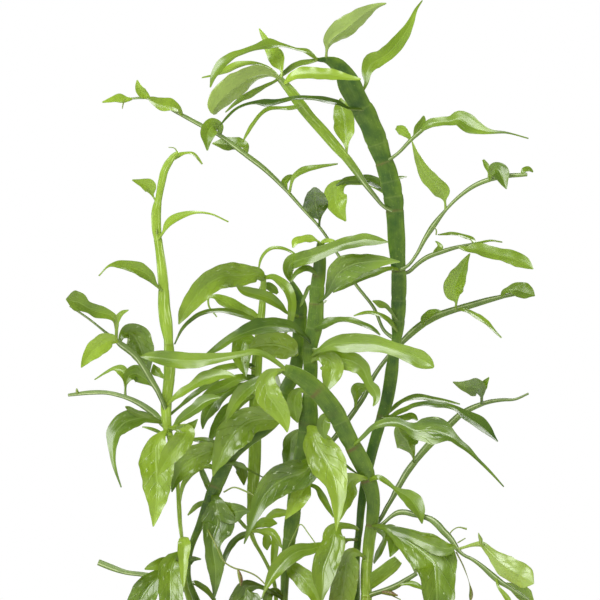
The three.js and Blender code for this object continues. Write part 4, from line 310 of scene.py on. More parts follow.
ARCHING_STEM = {
    "name": "stem_arching",
    "line": [
        [46, 86, -2, 6.5], [46, 118, -2, 6.5], [48, 134, -1, 6.8], [49.5, 150, 0, 7.5], [49.6, 170, 0, 7.4],
        [50.6, 180, 0, 7.6], [51.6, 190, 0, 7.8], [53, 199, -0.5, 8.2], [53.8, 206, -1, 8.5],
        [54.2, 214, -1.5, 8.8], [53.3, 221, -2.5, 9.6], [51.2, 228, -4, 10.6], [48.6, 236, -5.5, 11.2],
        [44.3, 244.5, -8, 11.4], [40.3, 252, -10.5, 11], [35.5, 261, -14, 11.5], [30.3, 271, -18, 12.4],
        [23.5, 280.5, -22, 12.2], [17, 287.5, -25, 12], [10, 293.5, -27, 11], [3, 298, -29, 9.5],
        [-4, 301, -30, 7],
    ],
    "leaves": [
        leaf([44, 252.5], [[48.5, 258, 2.8], [54, 263.3, 3.4], [61, 266, 5.5], [69, 266.3, 6.5],
            [76, 263.5, 6], [82, 261, 11], [88.3, 261.3, 15.5], [95, 260.6, 18], [100.3, 259, 14],
            [105, 257, 7.5], [110.3, 252.6, 5], [115.5, 248.8, 4], [121.7, 242.5, 2.2], [128.3, 236, 1.8],
            [139, 224.4, 0.8]], [-16, -24, -32, -38, -44, -50], 15, 0.3),
        leaf([52.5, 229], [[58, 230.5, 3.4], [63, 227.3, 3.4], [68, 223.3, 2.6], [72.5, 220.5, 6],
            [77, 218, 9.5], [81, 213.3, 11], [83.7, 208.3, 8], [85, 204, 4], [85.8, 200.5, 0.8]],
            [-10, -16, -24], 20),
        leaf([56, 199], [[64, 197, 5], [72, 192.5, 12], [80, 187, 19], [88, 181, 26], [94.5, 174.5, 29],
            [95.5, 167, 25], [95.8, 160, 23], [96.2, 150, 20], [96.5, 140, 13], [97, 128, 0.8]],
            [-14, -26, -36, -42, -48], 10, 0.4),
        leaf([56, 199], [[64, 197, 5], [74, 194, 6], [84, 190, 7], [93, 186.5, 10], [99, 184.5, 10],
            [103.5, 184.5, 8], [107.5, 186.3, 2]], [-14, -26, -36, -41], 0),
        leaf([55.5, 198], [[60, 197.5, 3], [64.5, 196, 9], [67.5, 191.5, 11], [67.8, 187, 9],
            [66.6, 183, 5.5], [65, 178.8, 0.8]], [-3, -9, -14], 0),
        leaf([56, 198], [[61.5, 191, 3], [59, 184.5, 4], [56.5, 179, 3.4], [54.5, 174.5, 0.8]],
            [7, 9, 10], 30),
        leaf([50, 229.5], [[45, 230, 5], [40.5, 229, 10], [37.5, 226, 14], [35.8, 221.5, 15.2],
            [34.3, 216.5, 13.4], [32.8, 211.5, 10.2], [32, 206.5, 6.2], [31, 202.5, 3], [30.3, 199.5, 0.8]],
            [-11, -13], 5, 0.8),
        leaf([49.5, 176], [[45.5, 180.5, 3], [41.5, 181.5, 7], [38, 177, 14], [36.2, 168, 16.5],
            [35, 160, 17], [33.5, 152, 17], [32, 144, 12], [31, 137, 0.8]], [-4, -8], 10, 0.6),
        leaf([-2, 300], [[-8, 304.8, 3], [-15, 309.5, 3.6], [-22, 312, 4], [-32, 310.7, 4],
            [-42, 308.8, 5.5], [-52, 307.3, 7.5], [-61, 306.3, 10], [-70, 306.6, 11], [-79, 307.5, 10],
            [-88, 308.7, 7.5], [-93.5, 309.3, 4], [-97.3, 309, 0.8]], [-32, -32, -30, -26], -15),
        leaf([-3, 300.5], [[-10, 297.5, 3], [-17, 295, 5], [-24, 291, 7.5], [-30, 286, 9],
            [-34.5, 281, 8.5], [-37.5, 276, 6.5], [-40, 271, 4], [-42, 266.5, 0.8]], [-25, -20, -16], -25),
        leaf([-3, 300], [[-8, 300, 3], [-13, 297, 8.5], [-15.3, 291.5, 14], [-14, 284, 16.5],
            [-8.8, 276.5, 15], [-5, 270.5, 10.5], [-2.8, 265, 6], [-1.8, 259.8, 0.8]],
            [-34, -40, -42], 0, 0.78),
        leaf([33, 266], [[28, 270, 3], [23, 268.5, 8], [21.7, 262, 8], [23, 255.5, 0.8]],
            [-17, -19, -18], 0, 0.35),
        leaf([51, 185], [[52, 189, 2.2], [53, 192, 3.2], [53, 190, 3.6], [53.5, 184, 2.2], [54, 176, 0.8]],
            [18, 46, 70], 85),
    ],
    "branches": [
        branch([
            [54, 200, -1, 3.4], [57.5, 202, 2, 3], [60.3, 206, 4, 2.8], [62.5, 210.3, 6, 3],
            [66.5, 217, 8, 3.2], [69, 221.8, 9.5, 4], [72, 227, 11, 4], [75.8, 233.5, 12, 4.4],
            [80.8, 240.3, 13, 4.4], [86.2, 247, 14, 4.6], [91, 252.3, 15, 5], [98, 259.5, 16, 5],
            [105, 266, 17, 4.6], [111, 271.5, 18, 4.2], [117, 275, 19, 3.8], [122, 277.2, 20, 3.4],
            [128, 279.3, 21, 3], [138, 280.9, 23, 2.4], [146, 281.2, 25, 1.8], [155, 285, 27, 1.4],
        ], [
            leaf([124.5, 278.3], [[124.6, 283, 2], [123.5, 288, 9], [119, 289.3, 12], [114, 289.8, 8],
                [109.5, 291, 4], [106, 292.5, 0.8]], [14, 4, -4, -10], 0, 0.3),
            leaf([124.5, 278.3], [[124.8, 285, 2.4], [126, 290.5, 5], [129.3, 295.6, 0.8]], [14, 8], 0),
            leaf([80.8, 240.3], [[80.3, 243.5, 1.6], [79.4, 247, 4], [77.3, 250.7, 9.5], [75.8, 254, 15],
                [73, 257.5, 11], [71, 261, 7], [70, 265.5, 1]], [9, -2, -8], 10),
        ]),
        branch([
            [54, 198, -1, 3.6], [58.5, 199, -4, 3], [62.5, 202.3, -7, 2.4], [66, 205.3, -9, 2.6],
            [70, 207.6, -11, 3.6], [75, 207.9, -13, 3.8], [80, 206.5, -15, 3.6], [85.5, 205.3, -17, 3.4],
            [91, 203.6, -19, 4], [95.8, 200, -21.5, 4.6], [99.7, 195.5, -23.5, 4.4],
            [103.3, 191.9, -25, 4.2], [106.3, 188, -27, 3.6], [108.8, 184, -28, 3], [113, 180, -30, 2.2],
            [118, 177.6, -32, 2.4], [124.5, 173, -34, 3], [131.5, 166.8, -36, 4], [135.5, 163.5, -37, 4.2],
            [140, 160.5, -39, 3], [147, 156, -41.5, 2.6], [155, 151, -44, 1.8],
        ], [
            leaf([109, 183.8], [[114, 185.3, 1.8], [119.5, 186.8, 2.8], [124.5, 187, 4], [129.5, 182.5, 6],
                [134.5, 177.5, 10], [139.5, 173.3, 14], [145, 169.8, 15.5], [151, 166.3, 15],
                [155, 163.8, 11], [158.5, 161.5, 0.8]], [-30, -40, -49, -56], 170, 0.75),
            leaf([138, 161.8], [[142, 160.5, 3], [146, 158, 7], [150.5, 155, 10], [154, 152, 9],
                [157, 149.5, 5], [159, 147.5, 0.8]], [-36, -28, -22], 30, 0.7),
            leaf([134, 164.7], [[136, 158.5, 2], [138.5, 155.5, 3], [141, 152.3, 3.6], [143.5, 148, 3],
                [145.5, 144, 0.8]], [-42, -48], 0),
        ]),
        branch([
            [49.5, 160, 0, 8], [53.5, 163.4, -1, 9.2], [61.3, 169.1, -4, 9.2], [68, 174.6, -6, 8.4],
            [70.5, 177, -7, 6.5],
        ]),
        branch([
            [49.5, 153, 0, 4], [54, 154.8, -3, 3.4], [61.3, 157, -6, 3.6], [66.7, 158.9, -8, 4],
            [72, 161.7, -10.5, 3.8], [77.3, 165, -13, 3.2], [82.5, 168.2, -14, 2.8],
        ], [
            leaf([70, 160.5], [[74, 161.3, 2], [78, 161.6, 3.2], [82, 160.4, 3.6], [85.5, 158.5, 2],
                [87.5, 156.5, 0.8]], [-12, -18], 30),
        ]),
    ],
}

MIDDLE_STEM = {
    "name": "stem_middle",
    "line": [
        [-4, 86, 4, 6.5], [-4, 118, 4, 6.5], [-4, 134, 4, 5.6], [-3.8, 150, 4, 5.2], [-3.5, 160, 4, 5.4],
        [-2.8, 172, 4, 6.5], [-1.5, 182, 4, 7.8], [-0.6, 189, 4, 8.6], [0.8, 198, 4.5, 9.8],
        [2.8, 212, 5, 10], [5, 228, 5, 10.4], [6.8, 238, 5.5, 10.8], [8.7, 247, 6, 11.4],
        [10.5, 255, 6, 12], [11.6, 264, 6, 12.8], [12.3, 272, 5.8, 12], [12.6, 280, 5.5, 10],
        [13.2, 291, 5, 9], [13.4, 302, 4.2, 9.4], [13, 312, 3.4, 10], [13.8, 319, 3, 10],
        [16, 329, 2.2, 11], [17, 340, 1.2, 9.9], [17.7, 354, -0.2, 9.8], [18.8, 362, -1, 8.8],
        [19.5, 372, -3, 8], [20, 383, -5, 5],
    ],
    "leaves": [
        leaf([17.5, 343.5], [[23.5, 348.5, 2.4], [27, 355.5, 8], [32, 363, 16], [40, 368, 17],
            [48, 370, 13], [56, 371, 9], [64, 371.2, 4.5], [71.5, 370.6, 0.8]],
            [-5, -14, -20, -24], -15, 0.35),
        leaf([19.8, 382.5], [[17, 384.6, 1.6], [13, 385.7, 5], [8.5, 385.3, 4.5], [4, 384, 5],
            [1.8, 379.8, 1]], [-8, -14], -20, 0.9),
        leaf([20, 382.5], [[23, 384.3, 3], [27, 384.3, 2.6], [31.5, 382.8, 0.8]], [-7, -12], 0, 0.9),
        leaf([18, 362], [[11, 366.5, 4], [5, 364, 3.4], [0.5, 357.5, 0.8]], [-4, -9], -20),
        leaf([15.5, 354.5], [[12.3, 354, 2.5], [10.3, 350, 2.5], [8, 344.5, 2], [6.5, 341.5, 0.8]],
            [4, 8], 0),
        leaf([16, 327], [[22, 330, 5.5], [28, 332, 4.6], [34, 333, 3.6], [40, 332.5, 3.2], [46, 330.5, 3],
            [51, 328.5, 3.4], [55, 326, 2.5], [58.5, 323, 0.8]], [-2, -12, -18], 45, 0.25),
        leaf([14, 308], [[20, 313.5, 4], [27, 317, 8], [36, 317.8, 12], [46, 318, 12.5], [55, 317.5, 11],
            [63, 315.5, 9], [71, 312.8, 9.5], [79, 309.8, 11], [86, 306.6, 11], [91, 303.6, 7],
            [93.3, 302, 2]], [-6, -16, -26, -32], 0, 0.5),
        leaf([14, 305], [[19, 309, 6], [25, 307, 13], [27.5, 300.5, 15], [26, 294.5, 11], [24.3, 289.5, 6],
            [23.4, 285.5, 1]], [-1, -5, -8], 0),
        leaf([14, 314], [[24, 310.5, 8], [34, 307.5, 12.5], [42, 305, 13], [47, 301.5, 10], [49.7, 296, 7],
            [51.5, 291.5, 6], [54.5, 287.5, 7.5], [56.3, 283, 5], [55.6, 279.5, 3.2], [54, 276.8, 0.8]],
            [0, -3, -5, -8], -10, 0.55),
        leaf([12, 264], [[15.5, 258.5, 12], [17.5, 252.5, 19], [21.5, 245, 23], [26, 237, 22.5],
            [29.5, 228.5, 17], [31, 219, 11], [31, 210, 7], [30.6, 203, 4], [30, 195.8, 0.8]],
            [-6, -18, -26, -31], 0, 0.85),
        leaf([5.5, 230], [[10, 225.5, 7], [7.5, 220, 12], [3.8, 214, 10.5], [0.3, 208.5, 6],
            [-3.2, 203.5, 0.8]], [-2, -7, -12], 0, 0.95),
        leaf([10, 250], [[14.5, 242, 9], [11.5, 236, 16], [5, 232.5, 20], [-2, 230.4, 20.5],
            [-9, 226.5, 19], [-15.3, 220, 15.5], [-20, 213, 11], [-23, 206, 7], [-25.5, 199.5, 4.6],
            [-28, 192.5, 2.6], [-29.8, 187.3, 0.8]], [-4, -10, -16, -22, -26], 0, 0.3),
        leaf([5, 227], [[12, 226, 2.4], [17.5, 223.5, 3], [20, 219.5, 4.4], [23, 214, 4], [25.6, 209.7, 3],
            [28.3, 204.5, 0.8]], [3, 2], 20),
        leaf([14, 318], [[8, 323.5, 3], [2, 327.5, 6], [-5, 329, 9.5], [-13, 329.3, 10], [-21, 327.8, 9.5],
            [-29, 325, 7.5], [-37, 321.4, 6], [-44, 317, 5], [-49.5, 313, 3.5], [-54.3, 310.8, 0.8]],
            [-4, -12, -18, -22], -45, 0.2),
        leaf([10.8, 257], [[17, 256, 1.6], [23.4, 251.6, 1.8], [28.2, 245.8, 2], [33, 241.4, 1.8],
            [37.8, 237.2, 1.8], [44.4, 232.4, 0.8]], [7, 5, 3], 0),
        leaf([2, 208], [[-3, 207.5, 4], [-8, 207.5, 6], [-13, 205.5, 4], [-16.5, 203.5, 0.8]],
            [3, 1], 0, 0.7),
        leaf([12.5, 283], [[7, 287, 4], [4, 284, 9], [3, 278, 10], [3.5, 272, 8], [5, 266, 0.8]],
            [4, 3, 3], 0, 0.5),
        leaf([11, 260], [[5, 259.5, 5], [1.5, 255, 10], [0.5, 248, 11], [-1, 241, 8], [-3.5, 233, 0.8]],
            [9, 11, 9], 0, 0.3),
        leaf([-2.6, 174], [[1, 171.5, 9], [6, 167.5, 12], [11, 162, 13], [15.5, 156, 10],
            [18.5, 149.5, 5.5], [20.5, 145.5, 0.8]], [-3, -10, -12], 0, 0.7),
        leaf([-3.8, 151], [[-12, 156, 3], [-22, 160, 4.5], [-28, 158.5, 12], [-29, 153, 19.5],
            [-29.5, 145, 20], [-30, 136, 13], [-31, 128, 0.8]], [-5, -12, -16, -20], 0, 0.2),
        leaf([-3.8, 152], [[-10, 157, 4], [-14, 154.5, 6], [-14.5, 148, 6], [-15, 138, 0.8]], [-2, -6], 10),
        leaf([12, 265], [[12, 269, 2.2], [12, 273, 3.6], [12, 272, 4.3], [12.5, 266, 2.9], [13, 257, 0.8]],
            [28, 58, 84], 85),
        leaf([16, 333], [[17.5, 337, 2.2], [19, 341, 3.2], [21, 340, 4], [20.5, 334, 2.5], [20, 326, 0.8]],
            [22, 50, 76], 85),
        leaf([-0.5, 190], [[-1, 194, 2.2], [-1, 198, 3.6], [-2, 197, 4.3], [-1.5, 191, 2.5],
            [-1, 183, 0.8]], [22, 52, 78], 85),
    ],
    "branches": [
        branch([
            [9, 249, 6, 4], [20, 248, 14, 3], [27, 254, 22, 3.4], [37.7, 268, 28, 3.6], [48, 283, 30, 3.4],
            [55, 297, 32, 3], [63, 308, 33, 2.8], [72, 317.5, 34, 3.6], [78, 323.5, 35, 4.6],
            [86, 330, 36.5, 5], [94, 334.8, 38, 5], [104, 338.6, 41, 4.4], [116, 342, 43, 4.6],
            [128, 345.5, 46, 4], [138, 348, 48.5, 3], [157, 351.5, 53, 2.2],
        ], [
            leaf([107.5, 339.5], [[108, 344.5, 2], [106.3, 349.3, 10], [106.3, 353.5, 13.5],
                [108.3, 359, 12.5], [111.5, 365.5, 8.5], [114, 371, 4.5], [117, 376, 0.8]],
                [40, 34, 26], 10, 0.6),
            leaf([110, 340.2], [[115, 338.7, 2.6], [121, 335.7, 3.4], [127, 331.3, 3.2], [132.5, 326, 2],
                [137.3, 321.3, 0.8]], [38, 22], 50),
            leaf([86, 330], [[87, 333.5, 4], [90.5, 336.5, 5], [94.5, 338, 3.5], [99, 338.3, 0.8]],
                [34, 28], 30),
            leaf([137.5, 348], [[139, 351, 3], [142, 352.3, 4], [147, 353, 9], [152, 351.5, 11],
                [156, 350, 7], [159, 348.5, 0.8]], [46, 36], 20),
            leaf([42.5, 275], [[42.8, 280, 2.4], [43.2, 284, 5.5], [44, 287.5, 9], [48, 289.3, 5],
                [53, 289.8, 3], [57, 288.5, 0.8]], [27, 20, 12], 0),
        ]),
    ],
}

SWEEPING_STEM = {
    "name": "stem_sweeping",
    "line": [
        [-48, 86, -2, 6], [-48, 118, -2, 6], [-54, 132, 0, 5.6], [-61, 151, 1, 4.8], [-64, 158, 2, 4.4],
        [-66, 165, 2, 3.8], [-66, 175, 2, 3.6], [-64.2, 185, 2, 4], [-61.8, 192, 1.5, 4.6],
        [-59.6, 197, 1, 5], [-56.2, 206, 0, 6], [-52.6, 214.5, -1.5, 8], [-48.6, 223.5, -3, 9.4],
        [-45.2, 231.5, -4, 9.4], [-41.6, 239, -4, 9], [-36.8, 246.5, -4, 9], [-30.5, 252.4, -2.5, 9],
        [-23.5, 257.7, 0, 9], [-16.6, 262.3, 3, 9], [-9, 270, 6, 9], [-4, 285, 10, 9], [3, 299, 14, 9],
        [5, 310, 16, 8.4], [5.7, 320, 17, 8.6], [6.6, 333, 17, 9], [7, 341, 17, 8.4], [5.5, 348, 17, 6.4],
        [0.5, 359, 16, 2.4],
    ],
    "leaves": [
        leaf([-9.5, 269.5], [[-8, 268.5, 7], [-13, 268.5, 13], [-20, 268.5, 16], [-27.5, 266.5, 19],
            [-33.5, 261.8, 22], [-39, 255.5, 20.5], [-43, 249, 15], [-46, 242, 10], [-48.4, 236.8, 5],
            [-50.1, 231.3, 0.8]], [0, -8, -14, -18], 0, 0.5),
        leaf([-50.5, 219], [[-48, 214, 10], [-47, 206, 20], [-46.5, 200, 21], [-48.5, 195, 18],
            [-49.8, 190, 13.9], [-50.2, 185, 10.4], [-49.4, 179, 11.2], [-48.5, 173, 11.2],
            [-48.3, 166, 8.4], [-48.5, 160, 5], [-49.4, 151.5, 0.8]], [-12, -18, -22, -24], 0, 0.22),
        leaf([-50.5, 219], [[-46, 211, 10], [-40, 207.5, 14], [-35, 208, 12], [-31, 208.8, 7.5],
            [-26.2, 208.3, 0.8]], [-12, -16, -17], 0),
        leaf([-41, 240], [[-36.5, 239.5, 3], [-32.5, 237, 7], [-31, 233, 7], [-30.3, 229, 4],
            [-29.9, 225.5, 0.8]], [2, 12], 0),
        leaf([-41.5, 239], [[-35, 239.5, 3], [-29, 236.5, 2], [-23, 233.3, 1.2], [-16, 229.8, 0.8]],
            [-8, -6, 6], 0),
        leaf([-41.5, 239.5], [[-46.5, 247, 7], [-52, 247.5, 12.5], [-58.5, 245, 16], [-65, 241.5, 16],
            [-70.3, 236, 13], [-73.7, 230.5, 8.5], [-75.6, 225.5, 4], [-76.8, 221, 0.8]],
            [-10, -14, -17, -20], 0, 0.55),
        leaf([-38.5, 244.5], [[-44, 251, 2.4], [-50, 253, 3.4], [-56, 254.2, 4], [-61, 255, 3],
            [-66, 255.5, 0.8]], [-3, 0, 2], -45),
        leaf([-46, 230], [[-51, 237.3, 3], [-56, 237.5, 3.2], [-61.5, 234.3, 3], [-66, 230.5, 3.4],
            [-69.3, 226, 3], [-70.6, 221, 2], [-71.2, 216, 1.4], [-71.8, 211.8, 0.8]], [3, 6, 6], -45),
        leaf([-53, 213.5], [[-57, 213.6, 3.2], [-60.5, 212, 3.2], [-63.5, 209, 2.6], [-66.5, 205.9, 0.8]],
            [3, 8], -30),
        leaf([-51, 218], [[-53.5, 225.5, 4], [-56, 231.5, 4], [-58.7, 238, 2.5], [-60, 241, 0.8]],
            [5, 6], 0, 0.1),
        leaf([1.5, 357], [[-1.5, 363.5, 5], [0.5, 369.6, 9.2], [6, 372, 10], [14, 374.3, 9], [21, 377, 8],
            [28, 379.8, 7.5], [35, 382.2, 8.4], [42, 383.7, 8.2], [49, 385, 8.2], [56, 384.3, 6],
            [63.7, 383.5, 0.8]], [10, -9, -14, -18, -22], 15, 0.35),
        leaf([1.2, 357.5], [[1, 366, 1.6], [3, 375, 1.6], [-1, 378, 1.8], [-7, 379.8, 2], [-12, 379.3, 2],
            [-16, 376.5, 2], [-19, 372, 1.8], [-20.3, 366.5, 0.8]], [18, 24, 28, 32], -40, 0.5),
        leaf([6.5, 335], [[-2, 337.5, 1.8], [-7, 342.5, 5], [-12, 346.3, 7], [-19, 348.8, 7],
            [-26, 350.5, 6.5], [-31, 352.3, 5], [-35, 355.5, 0.8]], [13, 8, 2, -2], -25, 0.4),
        leaf([5, 310], [[3, 311.5, 6], [0.5, 313.5, 12.5], [-5, 315.8, 16.5], [-12, 317, 18],
            [-18, 316.6, 15], [-23, 315.3, 9], [-27, 314, 1]], [8, 0, -6, -12], 0, 0.85),
        leaf([-65.5, 161], [[-61.5, 161.8, 3.2], [-57, 159.3, 3.6], [-53, 155.8, 3.4], [-50, 152, 2.6],
            [-47.5, 148, 0.8]], [6, 12], 30),
        leaf([-48.6, 224], [[-48.5, 228, 1.8], [-48, 232, 3.2], [-47, 231, 4], [-48, 225, 2.5],
            [-49, 216, 0.8]], [16, 46, 70], 85),
        leaf([-4, 285], [[-6, 290, 1.8], [-8, 294, 3.2], [-9, 293, 4.3], [-8, 287, 2.5], [-7, 278, 0.8]],
            [28, 58, 84], 85),
    ],
    "branches": [],
}

LEFT_STEM = {
    "name": "stem_left",
    "line": [
        [-58, 86, -20, 5], [-58, 118, -20, 5], [-61, 134, -18, 4.6], [-65, 150, -16, 4],
        [-67.5, 158, -15, 3.6], [-68.7, 166, -14, 3], [-69.4, 180, -13, 2.6], [-70.4, 192, -13, 2.5],
        [-71.4, 200, -13, 2.7], [-72, 210, -13, 3], [-72.8, 223, -13, 2.6], [-73.6, 234, -13, 3],
        [-75.2, 244, -13, 3.6], [-77, 252, -13, 4.2], [-78.2, 258, -13, 4.6], [-79.8, 263, -13, 6],
        [-80.5, 271, -14, 6.9], [-80.3, 280, -14, 7.1], [-79.3, 288, -14, 7], [-78.4, 297, -15, 7.6],
        [-78.5, 310, -15.6, 7], [-79, 320, -16.4, 6.3], [-80.4, 330, -17, 8.2], [-81.7, 340, -17.8, 8],
        [-82.2, 354, -18.6, 7], [-83.5, 368, -19.6, 6.2], [-85.2, 381, -20.4, 5.4],
        [-86.8, 393, -21.2, 6.2], [-86.8, 404, -22, 6.2], [-85.3, 412, -22.6, 4.6], [-83, 424, -23.8, 5],
        [-81.5, 430, -24.4, 5], [-78.5, 435.5, -25, 4.8], [-75, 440, -25.6, 3.5], [-72.5, 442, -26, 1.8],
    ],
    "leaves": [
        leaf([-78, 435.5], [[-73, 439.5, 3], [-68, 441.3, 1.6], [-63, 440.8, 2.2], [-60, 438, 1.8],
            [-57, 434, 0.8]], [-22, -14], 40, 0.95),
        leaf([-86, 408.5], [[-89.3, 413.8, 1.6], [-91, 419, 8.5], [-95, 421.3, 6.8], [-99, 422.5, 3.6],
            [-102.5, 423.8, 0.8]], [-22, -28], -20, 0.7),
        leaf([-85.4, 385], [[-82.3, 390, 1.6], [-79.5, 395, 5], [-75, 398.5, 6], [-69, 401, 4],
            [-62, 402.6, 1.8], [-52, 401.8, 1.2], [-40, 396.6, 0.8]], [-26, -34, -44], 40, 0.75),
        leaf([-82.2, 351.5], [[-86.5, 355, 1.8], [-91, 361, 6.5], [-97.5, 365.2, 8.4], [-105, 367.6, 7],
            [-112, 368.8, 4.6], [-117.5, 368, 1.6], [-124.2, 361.5, 0.8]], [-22, -32, -42], -30, 0.6),
        leaf([-78.7, 294], [[-84.5, 297.5, 4], [-87, 299.5, 6.5], [-88.8, 304, 0.8]], [-11, -8], 0),
        leaf([-79.5, 261.5], [[-83.5, 257.5, 6], [-86.3, 252, 14], [-86.8, 245, 20.5], [-86.6, 237, 23],
            [-86.4, 230, 20], [-86.3, 223, 18], [-86.6, 216.7, 14], [-87.3, 210, 9], [-88, 203.3, 4.4],
            [-88.9, 198.5, 0.8]], [-18, -24, -28, -30], 0, 0.8),
        leaf([-79.5, 262.5], [[-72, 263.5, 3], [-67, 261, 9], [-69, 256, 13], [-74, 250, 13.5],
            [-79, 243.5, 11], [-82.5, 238, 7], [-86, 231.2, 0.8]], [-20, -32, -38, -44], 0, 0.7),
        leaf([-79.5, 262.5], [[-73.5, 262, 3], [-68, 261, 8], [-63.5, 264.5, 5], [-60, 268.3, 0.8]],
            [-20, -28], 0),
        leaf([-78.2, 257.5], [[-83.5, 259.3, 2], [-88, 261.3, 2.4], [-92, 262.6, 1.8], [-96, 263.3, 0.8]],
            [-11, -6], 0),
        leaf([-80.4, 277], [[-76, 281.5, 2.6], [-70, 286, 5], [-64, 289.5, 5.5], [-58, 293.5, 8],
            [-52, 295.5, 8.5], [-46, 297, 6.5], [-40, 297, 4], [-35.5, 296, 0.8]],
            [-20, -28, -34], 35, 0.62),
        leaf([-79, 260.5], [[-75, 263.5, 3], [-72, 267.5, 4.5], [-68.3, 270.5, 5.5], [-62, 275, 7],
            [-57, 279, 8.5], [-51, 281.5, 6], [-45, 282.5, 0.8]], [-17, -26, -30], 30),
        leaf([-80.5, 269.5], [[-74, 274.5, 1.6], [-67, 280.5, 2.6], [-60, 285.5, 3.4], [-53, 290.5, 4],
            [-47, 294.5, 2.6], [-44, 297, 0.8]], [-10, -6, 2], 50),
        leaf([-70.4, 191.5], [[-69, 189.5, 7.5], [-68.8, 187, 8.6], [-69, 182, 8], [-69.2, 176, 6.5],
            [-69.2, 169, 4.5], [-69.2, 163, 3], [-69.2, 159, 0.8]], [-25, -34, -40], 0, 0.85),
        leaf([-68.5, 163], [[-70.5, 174, 4], [-74, 177.5, 10], [-76.5, 172, 17], [-77.3, 163, 16.5],
            [-77.3, 152, 15.5], [-78.5, 138, 10], [-80, 124, 0.8]], [-21, -28, -40, -46], 0, 0.5),
        leaf([-68.5, 163], [[-70.5, 174, 4], [-80, 174.5, 9], [-87, 173.5, 7], [-91.5, 172, 4],
            [-94.5, 170.8, 0.8]], [-20, -24, -25], 0),
        leaf([-68.5, 163], [[-67.5, 172, 3], [-66, 176, 6], [-63, 177.5, 4], [-60.5, 177.6, 2.4],
            [-57.8, 177.4, 0.8]], [-19, -24], 0),
        leaf([-68.3, 161], [[-76, 164, 5], [-84, 166, 10], [-90, 161, 15], [-96, 152.5, 17],
            [-101, 143, 14], [-106, 134, 8], [-111, 126, 0.8]], [-9, -12, -16, -24], -10, 0.25),
        leaf([-78.8, 317], [[-79, 321, 2.2], [-80, 325, 3.2], [-81, 323, 4], [-80.5, 317, 2.5],
            [-80, 308, 0.8]], [2, 32, 58], 85),
        leaf([-82.2, 352], [[-82, 356, 1.8], [-82, 360, 3.2], [-83, 359, 3.6], [-82.5, 353, 2.2],
            [-82, 345, 0.8]], [-2, 28, 54], 85),
    ],
    "branches": [
        branch([
            [-80.6, 274, -14, 3], [-82.5, 279, -17, 3], [-84.3, 283, -19, 3.2], [-86.3, 287.5, -21, 3.6],
            [-88.5, 291, -22, 4], [-92, 297, -24, 4.5], [-96, 303.5, -27, 4], [-100, 309, -30, 4],
            [-105, 313.5, -33, 4.5], [-110, 317, -36, 4], [-113, 319.5, -37.5, 3], [-120, 325, -41, 1.8],
            [-130, 333, -45, 1.5], [-143, 342, -50, 1.5],
        ], [
            leaf([-113, 319.5], [[-112.8, 327, 2.2], [-113.5, 333, 4.5], [-118, 336.3, 6],
                [-126, 338.5, 8.5], [-132, 341.3, 7.5], [-137, 344.5, 12], [-141, 345.5, 12.5],
                [-145.5, 346.3, 1]], [-42, -50, -60], -20),
            leaf([-113, 319.5], [[-112.8, 327, 2.2], [-112.5, 333, 4], [-109, 337.5, 3],
                [-105, 339.3, 0.8]], [-42, -47], 0),
            leaf([-112, 318.8], [[-116, 320, 8], [-121, 318, 12], [-126, 314.3, 12], [-130.5, 309.5, 9],
                [-134, 304.8, 4], [-135.6, 302, 0.8]], [-42, -49, -56], 0, 0.85),
            leaf([-111, 317.8], [[-109, 322.5, 5], [-105.5, 324.5, 12], [-101, 322, 18], [-97.3, 315.5, 18],
                [-94.3, 307, 11], [-91.7, 297, 0.8]], [-30, -18, -12], 0, 0.3),
        ]),
        branch([
            [-80, 263.5, -13, 5], [-84.5, 267.5, -13, 4.6], [-88, 271.7, -12, 4.4],
            [-92.3, 275, -11.5, 4.2], [-97.7, 278.5, -10, 3.8], [-104.3, 281.7, -8.5, 3.2],
            [-110.3, 283.7, -6.5, 3], [-118.3, 285.5, -3.5, 2.8], [-128.3, 285.7, 1, 3], [-144, 284, 8, 2],
        ], [
            leaf([-107, 282.8], [[-107, 290, 1.8], [-107, 295.5, 5], [-109.5, 300, 7], [-114, 301.3, 3],
                [-120, 298.5, 1.6], [-127, 294, 0.8]], [-4, 0, 8], -10),
            leaf([-107, 282.8], [[-106.8, 291, 2], [-104, 297, 9], [-100, 298, 11], [-95.5, 295.5, 9],
                [-91, 292, 4], [-89, 289.5, 0.8]], [-4, 0, 4], 0, 0.4),
            leaf([-83, 266.5], [[-89.7, 268.3, 5], [-95, 269.3, 7.3], [-100.3, 268.7, 10.5],
                [-105.7, 267.3, 12.5], [-110.7, 263.7, 12.7], [-114, 259, 10.5], [-115, 253.3, 7.5],
                [-115, 246.3, 4.6], [-114.5, 240.3, 3], [-113, 234, 1.8], [-109.7, 224, 0.8]],
                [-18, -26, -34, -40], -25, 0.3),
            leaf([-83, 266.5], [[-95, 270.5, 4], [-101, 273, 4], [-105, 275.5, 3], [-107, 276.5, 0.8]],
                [-20, -26], 0),
        ]),
        branch([
            [-67.3, 157, -15, 3.4], [-80, 163, -2, 3.5], [-90, 166.6, 3, 3.2], [-97, 167.6, 6, 3.2],
            [-106, 168.7, 9, 3.2], [-115, 171.6, 13, 4.2], [-124.5, 175.4, 16, 4.2],
        ]),
    ],
}

